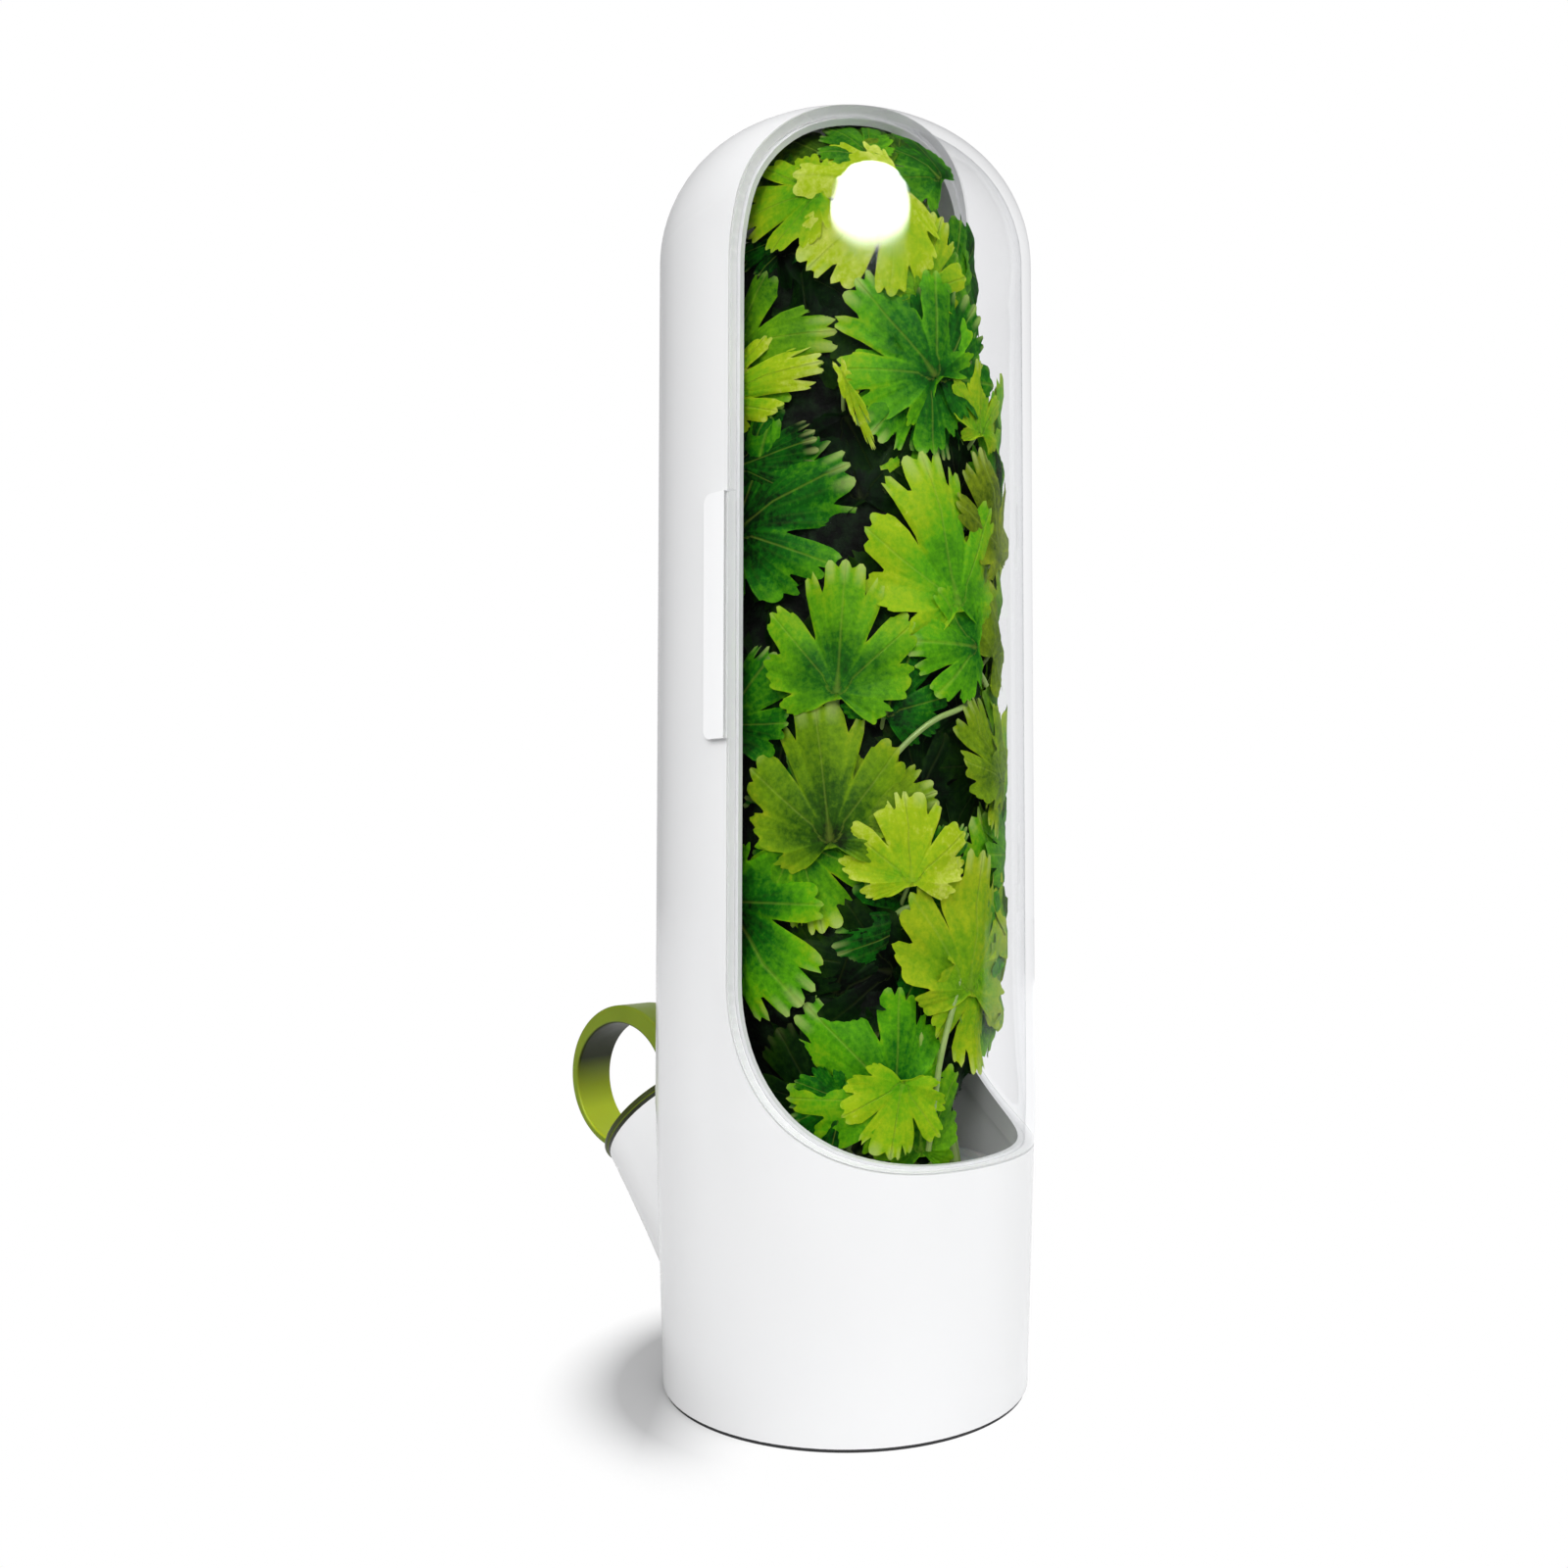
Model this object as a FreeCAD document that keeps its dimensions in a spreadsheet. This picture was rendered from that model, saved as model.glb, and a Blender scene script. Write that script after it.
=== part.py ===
import FreeCAD, Part
import math
import os
import Sketcher

# Herb keeper: a domed white pod with a clear half-shell door in front, a slanted water spout with a
# looped stopper at the back, and a slotted basket standing in its cup.
# Frame: +Z up, the door faces -Y, the spout leaves towards +Y, the door's hinge is on the +X side.
# The origin is the centre of the foot's underside. All lengths are in millimetres.

doc = FreeCAD.newDocument("herb_keeper")
V = FreeCAD.Vector

# ---------------------------------------------------------------- driving dimensions
SIZES = [
    # pod outline
    ("total_height", 275.0), ("dome_height", 30.0), ("dome_turn", 24.4), ("base_radius", 40.4),
    ("waist_radius", 42.1), ("waist_height", 62.0), ("shoulder_radius", 41.1),
    ("shell_wall", 2.4), ("foot_thick", 0.8), ("open_below", 4.0),
    # window, as cut from the side: a straight seam, a round lower corner and a rounder hood
    ("seam_forward", 1.2), ("sill_height", 53.0), ("sill_corner", 37.0), ("hood_drop", 13.0),
    ("hood_corner", 44.0), ("seam_gap", 0.4), ("ledge_width", 1.0), ("ledge_root", 4.0),
    ("ledge_thick", 1.2),
    # door
    ("door_wall", 2.0), ("tab_low", 138.0), ("tab_length", 48.5), ("tab_grip", 5.0),
    ("tab_root", 2.4), ("tab_thick", 1.2), ("tab_clear", 0.3), ("tab_corner", 1.8),
    # hinge
    ("hinge_out", 2.0), ("knuckle_radius", 2.6), ("knuckle_length", 10.0), ("lug_length", 5.0),
    ("hinge_low", 115.0), ("hinge_high", 200.0), ("hinge_clear", 0.3), ("pin_radius", 1.0),
    ("pin_play", 0.06), ("web_sink", 1.6),
    # spout
    ("spout_tilt", 47.0), ("mouth_radius", 16.6), ("mouth_stand", 12.1), ("mouth_height", 51.5),
    ("neck_tilt", 18.0), ("neck_radius", 16.6), ("neck_in", 8.8), ("neck_height", 21.5),
    ("root_in", 16.0), ("root_height", 4.0), ("root_width", 17.5), ("root_depth", 15.0),
    ("spout_wall", 2.1), ("bore_depth", 9.0), ("bore_step", 1.0), ("spout_sill", 0.5),
    # stopper
    ("seal_thick", 0.9), ("flange_over", 0.3), ("flange_thick", 1.6), ("plug_depth", 7.0),
    ("plug_play", 0.08), ("plug_neck", 0.5), ("lip_height", 1.6), ("plug_wall", 3.6),
    ("loop_radius", 18.3), ("loop_rise", 14.4), ("finger_radius", 15.0), ("finger_shift", 1.6),
    ("loop_width", 11.6), ("loop_edge", 0.6),
    # base
    ("plate_thick", 2.4), ("skirt_height", 9.2), ("skirt_lap", 0.8), ("plate_fit", 0.05),
    ("ring_groove", 1.2), ("ring_height", 1.8), ("ring_level", 5.6), ("foot_inset", 0.4),
    ("tread_depth", 0.3), ("tread_width", 2.0), ("tread_inner_share", 0.5), ("tread_outer_share", 0.8),
    # basket and grid
    ("basket_room", 4.2), ("basket_height", 36.0), ("basket_wall", 1.5), ("basket_seat", 0.1),
    ("rim_height", 3.2), ("rim_step", 0.8), ("slot_width", 4.0), ("slot_low", 6.0),
    ("slot_top", 29.0), ("slot_count", 12.0), ("drain_radius", 2.4), ("drain_ring_holes", 6.0),
    ("drain_inner_share", 0.3), ("drain_outer_share", 0.65),
    ("grid_thick", 1.8), ("grid_fit", 0.1), ("grid_band", 4.0), ("hub_radius", 8.0),
    ("hub_hole", 5.4), ("spoke_width", 2.4), ("spoke_count", 6.0),
]

sheet = doc.addObject("Spreadsheet::Sheet", "Sizes")
for row, (alias, number) in enumerate(SIZES, start=1):
    sheet.set("A%d" % row, alias)
    sheet.set("B%d" % row, str(number))
    sheet.setAlias("B%d" % row, alias)
doc.recompute()


class Size:
    """A length with its present value and the sheet formula that it comes from."""

    def __init__(self, value, formula):
        self.value = float(value)
        self.formula = formula

    def __add__(self, other):
        other = size(other)
        return Size(self.value + other.value, "(%s + %s)" % (self.formula, other.formula))

    def __radd__(self, other):
        return size(other) + self

    def __sub__(self, other):
        other = size(other)
        return Size(self.value - other.value, "(%s - %s)" % (self.formula, other.formula))

    def __rsub__(self, other):
        return size(other) - self

    def __mul__(self, other):
        other = size(other)
        return Size(self.value * other.value, "(%s * %s)" % (self.formula, other.formula))

    __rmul__ = __mul__

    def __truediv__(self, other):
        other = size(other)
        return Size(self.value / other.value, "(%s / %s)" % (self.formula, other.formula))

    def __rtruediv__(self, other):
        return size(other) / self

    def __neg__(self):
        return 0 - self


def size(given):
    """A Size as it is, an alias read from the sheet, or a plain number."""
    if isinstance(given, Size):
        return given
    if isinstance(given, str):
        return Size(getattr(sheet, given), "Sizes.%s" % given)
    return Size(given, repr(float(given)))


def root_of(given):
    return Size(math.sqrt(given.value), "sqrt(%s)" % given.formula)


def lesser(first, second):
    return Size(min(first.value, second.value), "min(%s; %s)" % (first.formula, second.formula))


def greater(first, second):
    return Size(max(first.value, second.value), "max(%s; %s)" % (first.formula, second.formula))


def sine(angle):
    return Size(math.sin(math.radians(angle.value)), "sin(%s * 1deg)" % angle.formula)


def cosine(angle):
    return Size(math.cos(math.radians(angle.value)), "cos(%s * 1deg)" % angle.formula)


def bind(item, **lengths):
    """Binds properties of an object to sizes; two underscores stand for a dot."""
    for name, given in lengths.items():
        item.setExpression(name.replace("__", "."), size(given).formula)
    return item


# ---------------------------------------------------------------- outlines
FRONT = FreeCAD.Rotation(V(1, 0, 0), V(0, 0, 1), V(0, -1, 0))   # drawn on X and Z
SIDE = FreeCAD.Rotation(V(0, 1, 0), V(0, 0, 1), V(1, 0, 0))     # drawn on Y and Z


def arc_between(start, end, radius):
    """The short anticlockwise arc from start to end."""
    chord = end - start
    rise = math.sqrt(max(radius ** 2 - chord.Length ** 2 / 4.0, 0.0))
    left = V(-chord.y, chord.x, 0) / chord.Length
    centre = (start + end) / 2 + left * rise
    first = math.atan2(start.y - centre.y, start.x - centre.x)
    last = math.atan2(end.y - centre.y, end.x - centre.x)
    return Part.ArcOfCircle(Part.Circle(centre, V(0, 0, 1), radius), first, last)


def draw(sketch, corners, arcs=None):
    """Closes an outline through corners; a side listed in arcs by its first corner is an arc."""
    arcs = arcs or {}
    corners = [(size(u), size(v)) for u, v in corners]
    points = [V(u.value, v.value, 0) for u, v in corners]
    first = sketch.GeometryCount
    for number, point in enumerate(points):
        after = points[(number + 1) % len(points)]
        if number in arcs:
            sketch.addGeometry(arc_between(point, after, size(arcs[number]).value), False)
        else:
            sketch.addGeometry(Part.LineSegment(point, after), False)
    for number in range(len(points)):
        side = first + number
        following = first + (number + 1) % len(points)
        sketch.addConstraint(Sketcher.Constraint("Coincident", side, 2, following, 1))
    for number, (u, v) in enumerate(corners):
        for kind, given in (("DistanceX", u), ("DistanceY", v)):
            row = sketch.addConstraint(
                Sketcher.Constraint(kind, -1, 1, first + number, 1, given.value))
            sketch.setExpression("Constraints[%d]" % row, given.formula)
    for number, radius in arcs.items():
        given = size(radius)
        row = sketch.addConstraint(Sketcher.Constraint("Radius", first + number, given.value))
        sketch.setExpression("Constraints[%d]" % row, given.formula)
    return sketch


def draw_circle(sketch, u, v, radius):
    u, v, radius = size(u), size(v), size(radius)
    circle = Part.Circle(V(u.value, v.value, 0), V(0, 0, 1), radius.value)
    number = sketch.addGeometry(circle, False)
    for kind, given in (("DistanceX", u), ("DistanceY", v)):
        row = sketch.addConstraint(Sketcher.Constraint(kind, -1, 1, number, 3, given.value))
        sketch.setExpression("Constraints[%d]" % row, given.formula)
    row = sketch.addConstraint(Sketcher.Constraint("Radius", number, radius.value))
    sketch.setExpression("Constraints[%d]" % row, radius.formula)
    return sketch


def free_sketch(name, turn):
    sketch = doc.addObject("Sketcher::SketchObject", name)
    sketch.Placement = FreeCAD.Placement(V(0, 0, 0), turn)
    return sketch


def join(kind, name, base, tool):
    """A Part boolean of two objects: Cut, Fuse or Common."""
    result = doc.addObject("Part::" + kind, name)
    result.Base = base
    result.Tool = tool
    return result


def join_all(name, *shapes):
    result = doc.addObject("Part::MultiFuse", name)
    result.Shapes = list(shapes)
    return result


def cylinder(name, radius, height, x=0, y=0, z=0):
    made = doc.addObject("Part::Cylinder", name)
    return bind(made, Radius=radius, Height=height,
                Placement__Base__x=x, Placement__Base__y=y, Placement__Base__z=z)


def block(name, length, width, height, x, y, z):
    made = doc.addObject("Part::Box", name)
    return bind(made, Length=length, Width=width, Height=height,
                Placement__Base__x=x, Placement__Base__y=y, Placement__Base__z=z)


# ---------------------------------------------------------------- the pod's revolved form
foot_thick = size("foot_thick")
waist_radius = size("waist_radius")
waist_height = size("waist_height")
shoulder_height = size("total_height") - "dome_height"
reach = waist_radius * 3


# dome: a round shoulder that runs into a flatter cap, both upright or level where they end
dome_height = size("dome_height")
dome_turn = size("dome_turn")
shoulder_radius = size("shoulder_radius")
cap_radius = (shoulder_radius * shoulder_radius + dome_height * dome_height
              - shoulder_radius * dome_turn * 2) / ((dome_height - dome_turn) * 2)
cap_share_out = (shoulder_radius - dome_turn) / (cap_radius - dome_turn)
cap_share_up = (cap_radius - dome_height) / (cap_radius - dome_turn)


def pod_form(name, inset, below=0):
    """The pod's solid form, taken in all round by inset: two gentle tapers under a dome."""
    inset = size(inset)
    base = size("base_radius") - inset
    cap = cap_radius - inset
    corners = [(0, foot_thick - below), (base, foot_thick - below), (base, foot_thick),
               (waist_radius - inset, waist_height), (shoulder_radius - inset, shoulder_height),
               (cap_share_out * cap, size("total_height") - cap_radius + cap_share_up * cap),
               (0, size("total_height") - inset)]
    if below == 0:
        del corners[1]
    turn = len(corners) - 3
    form = doc.addObject("Part::Revolution", name)
    form.Source = draw(free_sketch(name + "_outline", FRONT), corners,
                       {turn: dome_turn - inset, turn + 1: cap})
    form.Axis = V(0, 0, 1)
    form.Angle = 360
    form.Solid = True
    return form


def window_form(name, grow):
    """The window's side outline, grown all round, run through from side to side."""
    grow = size(grow)
    seam = grow - "seam_forward"
    sill = size("sill_height") - grow
    corner = size("sill_corner")
    hood = size("hood_corner")
    corner_turn = -corner - "seam_forward"
    hood_turn = -hood - "seam_forward"
    hood_start = shoulder_height - "hood_drop"
    hood_top = hood_start + hood + grow
    corners = [(seam, size("sill_height") + corner), (seam, hood_start), (hood_turn, hood_top),
               (-reach, hood_top), (-reach, sill), (corner_turn, sill)]
    outline = draw(free_sketch(name + "_outline", SIDE), corners, {1: hood + grow, 5: corner + grow})
    form = doc.addObject("Part::Extrusion", name)
    form.Base = outline
    form.DirMode = "Custom"
    form.Dir = V(1, 0, 0)
    form.Solid = True
    form.Symmetric = True
    return bind(form, LengthFwd=reach)


shell_wall = size("shell_wall")
ledge_inset = shell_wall + "ledge_thick"
open_below = size("open_below")
pod_outer = pod_form("pod_outer", 0)
pod_inner = pod_form("pod_inner", shell_wall, open_below)
pod_ledge = pod_form("pod_ledge", ledge_inset, open_below)
window_cut = window_form("window_cut", 0)
window_clear = window_form("window_clear", -size("ledge_width"))
window_band = window_form("window_band", "ledge_root")
window_leaf = window_form("window_leaf", -size("seam_gap"))

# ---------------------------------------------------------------- spout
spout_tilt = size("spout_tilt")
mouth_radius = size("mouth_radius")
bore_radius = mouth_radius - "spout_wall"
mouth_out = waist_radius + "mouth_stand"
mouth = dict(Placement__Base__y=mouth_out, Placement__Base__z="mouth_height",
             Placement__Rotation__Angle=-spout_tilt)


def section(name, wide, deep, out, height, tilt):
    """One elliptic section of the spout, across its leaning centre line."""
    ring = doc.addObject("Part::Ellipse", name)
    ring.Placement = FreeCAD.Placement(V(0, 0, 0), FreeCAD.Rotation(V(1, 0, 0), -tilt.value))
    return bind(ring, MajorRadius=wide, MinorRadius=deep, Placement__Base__y=out,
                Placement__Base__z=height, Placement__Rotation__Angle=-tilt)


def spout_form(name, inset, root_height, mouth_inset):
    """The spout's body from its root in the cup wall, over the neck, to the round mouth."""
    inset = size(inset)
    neck = size("neck_radius") - inset
    mouth_ring = mouth_radius - mouth_inset
    rings = [
        section(name + "_root", size("root_width") - inset, size("root_depth") - inset,
                size("base_radius") - "root_in", root_height, size(0)),
        section(name + "_neck", neck, neck, waist_radius - "neck_in", "neck_height",
                size("neck_tilt")),
        section(name + "_mouth", mouth_ring, mouth_ring, mouth_out, "mouth_height", spout_tilt),
    ]
    form = doc.addObject("Part::Loft", name)
    form.Sections = rings
    form.Solid = True
    form.Ruled = False
    return form


def on_mouth(made):
    """Stands an object on the mouth's plane, with its Z along the spout's axis."""
    made.Placement = FreeCAD.Placement(V(0, 0, 0), FreeCAD.Rotation(V(1, 0, 0), -spout_tilt.value))
    return bind(made, **mouth)


plate_top = foot_thick + "skirt_height"
spout_outer = spout_form("spout_outer", 0, "root_height", 0)
spout_inner = spout_form("spout_inner", "spout_wall", plate_top + "spout_sill",
                         size("spout_wall") + "bore_step")
spout_bore = doc.addObject("Part::Cylinder", "spout_bore")
spout_bore.Placement = FreeCAD.Placement(V(0, 0, 0), FreeCAD.Rotation(V(1, 0, 0), -spout_tilt.value))
bore_depth = size("bore_depth")
bind(spout_bore, Radius=bore_radius, Height=bore_depth * 2,
     Placement__Rotation__Angle=-spout_tilt,
     Placement__Base__y=mouth_out - bore_depth * sine(spout_tilt),
     Placement__Base__z=size("mouth_height") - bore_depth * cosine(spout_tilt))
spout_hollow = join("Fuse", "spout_hollow", spout_inner, spout_bore)

# ---------------------------------------------------------------- hinge line
knuckle_radius = size("knuckle_radius")
knuckle_length = size("knuckle_length")
lug_length = size("lug_length")
hinge_clear = size("hinge_clear")
hinge_x = greater(waist_radius, shoulder_radius) + "hinge_out"
hinge_y = -(size("seam_forward") + size("seam_gap") / 2)
hinge_levels = {"low": size("hinge_low"), "high": size("hinge_high")}


def web_at(level):
    """Length of a web from the hinge line into the wall of the pod's upper taper."""
    risen = (level - waist_height) / (shoulder_height - waist_height)
    wall = waist_radius - (waist_radius - shoulder_radius) * risen
    return hinge_x - wall + "web_sink"


def lugs_at(name, level):
    """The two fixed lugs that take the pin, each webbed to the shell behind the seam."""
    made = []
    starts = {"under": level - knuckle_length / 2 - hinge_clear - lug_length,
              "over": level + knuckle_length / 2 + hinge_clear}
    for side, start in starts.items():
        barrel = cylinder("lug_%s_%s" % (side, name), knuckle_radius, lug_length,
                          hinge_x, hinge_y, start)
        web = block("lug_web_%s_%s" % (side, name), web_at(level), knuckle_radius, lug_length,
                    hinge_x - web_at(level), -size("seam_forward"), start)
        made += [barrel, web]
    return made


def sleeve_at(name, level, radius, extra):
    """A round of the hinge line at the moving knuckle's height, longer by extra at both ends."""
    return cylinder(name, radius, knuckle_length + size(extra) * 2, hinge_x, hinge_y,
                    level - knuckle_length / 2 - extra)


def pin_bore(name, level, radius):
    span = knuckle_length + lug_length * 2 + hinge_clear * 2
    return cylinder(name, radius, span, hinge_x, hinge_y, level - span / 2)


# ---------------------------------------------------------------- body_shell
# One white moulding: thin wall, thicker ledge band round the window, hinge lugs, then the spout.
shell_thick = join("Cut", "shell_thick", pod_outer, pod_ledge)
wall_relief = join("Cut", "wall_relief", pod_inner, window_band)
shell_thin = join("Cut", "shell_thin", shell_thick, wall_relief)
leaf_recess = join("Cut", "leaf_recess", window_cut, pod_inner)
shell_recessed = join("Cut", "shell_recessed", shell_thin, leaf_recess)
shell_open = join("Cut", "shell_open", shell_recessed, window_clear)
lug_parts = []
lug_bores = []
knuckle_reliefs = []
for level_name, level in hinge_levels.items():
    lug_parts += lugs_at(level_name, level)
    lug_bores.append(pin_bore("lug_bore_" + level_name, level, "pin_radius"))
    knuckle_reliefs.append(sleeve_at("knuckle_relief_" + level_name, level,
                                     knuckle_radius + hinge_clear, hinge_clear))
shell_relieved = join("Cut", "shell_relieved", shell_open,
                      join_all("knuckle_relief", *knuckle_reliefs))
shell_lugged = join_all("shell_lugged", shell_relieved, *lug_parts)
shell_hinged = join("Cut", "shell_hinged", shell_lugged, join_all("lug_bores", *lug_bores))
pod_core = pod_form("pod_core", shell_wall / 2)
spout_wall_form = join("Cut", "spout_wall_form", spout_outer, pod_core)
shell_spouted = join("Fuse", "shell_spouted", shell_hinged, spout_wall_form)
body_shell = join("Cut", "body_shell", shell_spouted, spout_hollow)

# ---------------------------------------------------------------- window_door
# A clear half shell flush with the pod, with a thumb tab lapping over the seam and two knuckles.
door_wall = size("door_wall")
tab_clear = size("tab_clear")
pod_leaf = pod_form("pod_leaf", door_wall, open_below)
pod_tab = pod_form("pod_tab", -(tab_clear + "tab_thick"))
pod_tab_under = pod_form("pod_tab_under", -tab_clear)
leaf_shell = join("Cut", "leaf_shell", pod_outer, pod_leaf)
leaf = join("Common", "leaf", leaf_shell, window_leaf)

tab_front = -(size("seam_forward") + "tab_root")
tab_back = size("tab_grip") - "seam_forward"
tab_low = size("tab_low")
tab_high = tab_low + "tab_length"
tab_corner = size("tab_corner")
tab_outline = draw(
    free_sketch("tab_outline", SIDE),
    [(tab_front, tab_low), (tab_back - tab_corner, tab_low), (tab_back, tab_low + tab_corner),
     (tab_back, tab_high - tab_corner), (tab_back - tab_corner, tab_high), (tab_front, tab_high)],
    {1: tab_corner, 3: tab_corner})
tab_prism = doc.addObject("Part::Extrusion", "tab_prism")
tab_prism.Base = tab_outline
tab_prism.DirMode = "Custom"
tab_prism.Dir = V(-1, 0, 0)
tab_prism.Solid = True
bind(tab_prism, LengthFwd=reach)
tab_skin = join("Common", "tab_skin", join("Cut", "tab_layer", pod_tab, pod_tab_under), tab_prism)
tab_foot_layer = join("Cut", "tab_foot_layer", pod_tab, pod_leaf)
tab_foot_prism = join("Common", "tab_foot_prism", tab_prism, window_leaf)
tab_foot = join("Common", "tab_foot", tab_foot_layer, tab_foot_prism)

door_barrels = []
door_bores = []
lug_reliefs = []
for level_name, level in hinge_levels.items():
    door_barrels.append(sleeve_at("knuckle_" + level_name, level, knuckle_radius, 0))
    door_barrels.append(block("knuckle_web_" + level_name, web_at(level), knuckle_radius,
                              knuckle_length, hinge_x - web_at(level),
                              hinge_y - knuckle_radius - size("seam_gap") / 2,
                              level - knuckle_length / 2))
    door_bores.append(pin_bore("knuckle_bore_" + level_name, level,
                               size("pin_radius") + "pin_play"))
    for side, shift in (("under", -lug_length - hinge_clear * 2), ("over", knuckle_length)):
        lug_reliefs.append(cylinder("lug_relief_%s_%s" % (side, level_name),
                                    knuckle_radius + hinge_clear,
                                    lug_length + hinge_clear * 2, hinge_x, hinge_y,
                                    level - knuckle_length / 2 + shift))
leaf_relieved = join("Cut", "leaf_relieved", leaf, join_all("lug_relief", *lug_reliefs))
door_joined = join_all("door_joined", leaf_relieved, tab_skin, tab_foot, *door_barrels)
window_door = join("Cut", "window_door", door_joined, join_all("knuckle_bores", *door_bores))

# ---------------------------------------------------------------- hinge_pins
pins = [pin_bore("pin_" + level_name, level, "pin_radius")
        for level_name, level in hinge_levels.items()]
hinge_pins = doc.addObject("Part::Compound", "hinge_pins")
hinge_pins.Links = pins

# ---------------------------------------------------------------- base_plate and base_seal
# The plate follows the shell's inside with a small fit, and its skirt carries the sealing ring.
plate_fit = size("plate_fit")
basket_radius = lesser(size("base_radius"), waist_radius) - "basket_room"
skirt_inner = basket_radius - "skirt_lap"
ring_level = size("ring_level")
ring_height = size("ring_height")
pod_plate = pod_form("pod_plate", shell_wall + plate_fit)
pod_groove = pod_form("pod_groove", shell_wall + plate_fit + "ring_groove")
plate_slab = cylinder("plate_slab", reach, "skirt_height", z=foot_thick)
ring_slab = cylinder("ring_slab", reach, ring_height, z=ring_level)
plate_puck = join("Common", "plate_puck", pod_plate, plate_slab)
plate_well = cylinder("plate_well", skirt_inner, "skirt_height", z=foot_thick + "plate_thick")
plate_cup = join("Cut", "plate_cup", plate_puck, plate_well)
ring_space = join("Cut", "ring_space", ring_slab, pod_groove)
base_plate = join("Cut", "base_plate", plate_cup, ring_space)
ring_form = join("Common", "ring_form", pod_inner, ring_slab)
base_seal = join("Cut", "base_seal", ring_form, pod_groove)


# ---------------------------------------------------------------- bodies made feature by feature
def plane_of(body, role):
    return [item for item in body.Origin.OriginFeatures if item.Role == role][0]


def body_sketch(body, name, role, lift=None):
    """A sketch on one of the body's own origin planes, raised along it by lift."""
    sketch = body.newObject("Sketcher::SketchObject", name)
    sketch.AttachmentSupport = [(plane_of(body, role), "")]
    sketch.MapMode = "FlatFace"
    if lift is not None:
        sketch.setExpression("AttachmentOffset.Base.z", size(lift).formula)
    return sketch


def revolve(body, name, corners, arcs=None):
    sketch = draw(body_sketch(body, name + "_outline", "XZ_Plane"), corners, arcs)
    turned = body.newObject("PartDesign::Revolution", name)
    turned.Profile = sketch
    turned.ReferenceAxis = (sketch, ["V_Axis"])
    turned.Angle = 360
    sketch.Visibility = False
    return turned


def pocket_round(body, name, sketch, count):
    """Cuts a sketch right through upwards and repeats the cut round the body's Z axis."""
    cut = body.newObject("PartDesign::Pocket", name)
    cut.Profile = sketch
    cut.Type = "ThroughAll"
    cut.SideType = "Symmetric"
    doc.recompute()
    pattern = body.newObject("PartDesign::PolarPattern", name + "_ring")
    pattern.Originals = [cut]
    pattern.Axis = (plane_of(body, "Z_Axis"), [""])
    pattern.Angle = 360
    pattern.setExpression("Occurrences", count.formula)
    body.Tip = pattern
    doc.recompute()
    return pattern


# foot_pad: a dark non-slip disc with two shallow ring grooves in its tread
foot_pad = doc.addObject("PartDesign::Body", "foot_pad")
foot_radius = size("base_radius") - "foot_inset"
tread_depth = size("tread_depth")
tread_width = size("tread_width")
groove_in = foot_radius * "tread_inner_share"
groove_out = foot_radius * "tread_outer_share"
revolve(foot_pad, "pad_disc",
        [(0, 0), (groove_in, 0), (groove_in, tread_depth), (groove_in + tread_width, tread_depth),
         (groove_in + tread_width, 0), (groove_out, 0), (groove_out, tread_depth),
         (groove_out + tread_width, tread_depth), (groove_out + tread_width, 0),
         (foot_radius, 0), (foot_radius, foot_thick), (0, foot_thick)])

# herb_basket: a slotted cup standing on the skirt, with a step inside its rim for the grid
herb_basket = doc.addObject("PartDesign::Body", "herb_basket")
basket_height = size("basket_height")
basket_wall = size("basket_wall")
rim_low = basket_height - "rim_height"
rim_bore = basket_radius - basket_wall
cup_bore = rim_bore - "rim_step"
revolve(herb_basket, "cup",
        [(0, 0), (basket_radius, 0), (basket_radius, basket_height), (rim_bore, basket_height),
         (rim_bore, rim_low), (cup_bore, rim_low), (cup_bore, basket_wall), (0, basket_wall)])
doc.recompute()
slot_half = size("slot_width") / 2
slot_low = size("slot_low")
slot_top = size("slot_top")
slot_sketch = draw(
    body_sketch(herb_basket, "slot_outline", "XZ_Plane"),
    [(slot_half, slot_low + slot_half), (slot_half, slot_top - slot_half), (0, slot_top),
     (-slot_half, slot_top - slot_half), (-slot_half, slot_low + slot_half), (0, slot_low)],
    {1: slot_half, 2: slot_half, 4: slot_half, 5: slot_half})
slot_cut = herb_basket.newObject("PartDesign::Pocket", "wall_slot")
slot_cut.Profile = slot_sketch
slot_cut.Type = "ThroughAll"
doc.recompute()
slot_ring = herb_basket.newObject("PartDesign::PolarPattern", "wall_slots")
slot_ring.Originals = [slot_cut]
slot_ring.Axis = (plane_of(herb_basket, "Z_Axis"), [""])
slot_ring.Angle = 360
slot_ring.setExpression("Occurrences", "Sizes.slot_count")
herb_basket.Tip = slot_ring
doc.recompute()
drain_radius = size("drain_radius")
drain_holes = size("drain_ring_holes")
for ring_name, share, count in (("inner", "drain_inner_share", drain_holes),
                                ("outer", "drain_outer_share", drain_holes * 2)):
    drain = draw_circle(body_sketch(herb_basket, "drain_%s_outline" % ring_name, "XY_Plane"),
                        cup_bore * share, 0, drain_radius)
    pocket_round(herb_basket, "drain_" + ring_name, drain, count)
bind(herb_basket, Placement__Base__z=plate_top + "basket_seat")

# stem_grid: a spoked wheel resting on the basket's inner step, open between spokes for the stems
stem_grid = doc.addObject("PartDesign::Body", "stem_grid")
grid_radius = rim_bore - "grid_fit"
grid_thick = size("grid_thick")
hub_radius = size("hub_radius")
revolve(stem_grid, "grid_disc",
        [("hub_hole", 0), (grid_radius, 0), (grid_radius, grid_thick), ("hub_hole", grid_thick)])
doc.recompute()
spoke_half = size("spoke_width") / 2
spoke_count = size("spoke_count")
spoke_turn = 180 / spoke_count
band_bore = grid_radius - "grid_band"


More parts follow.
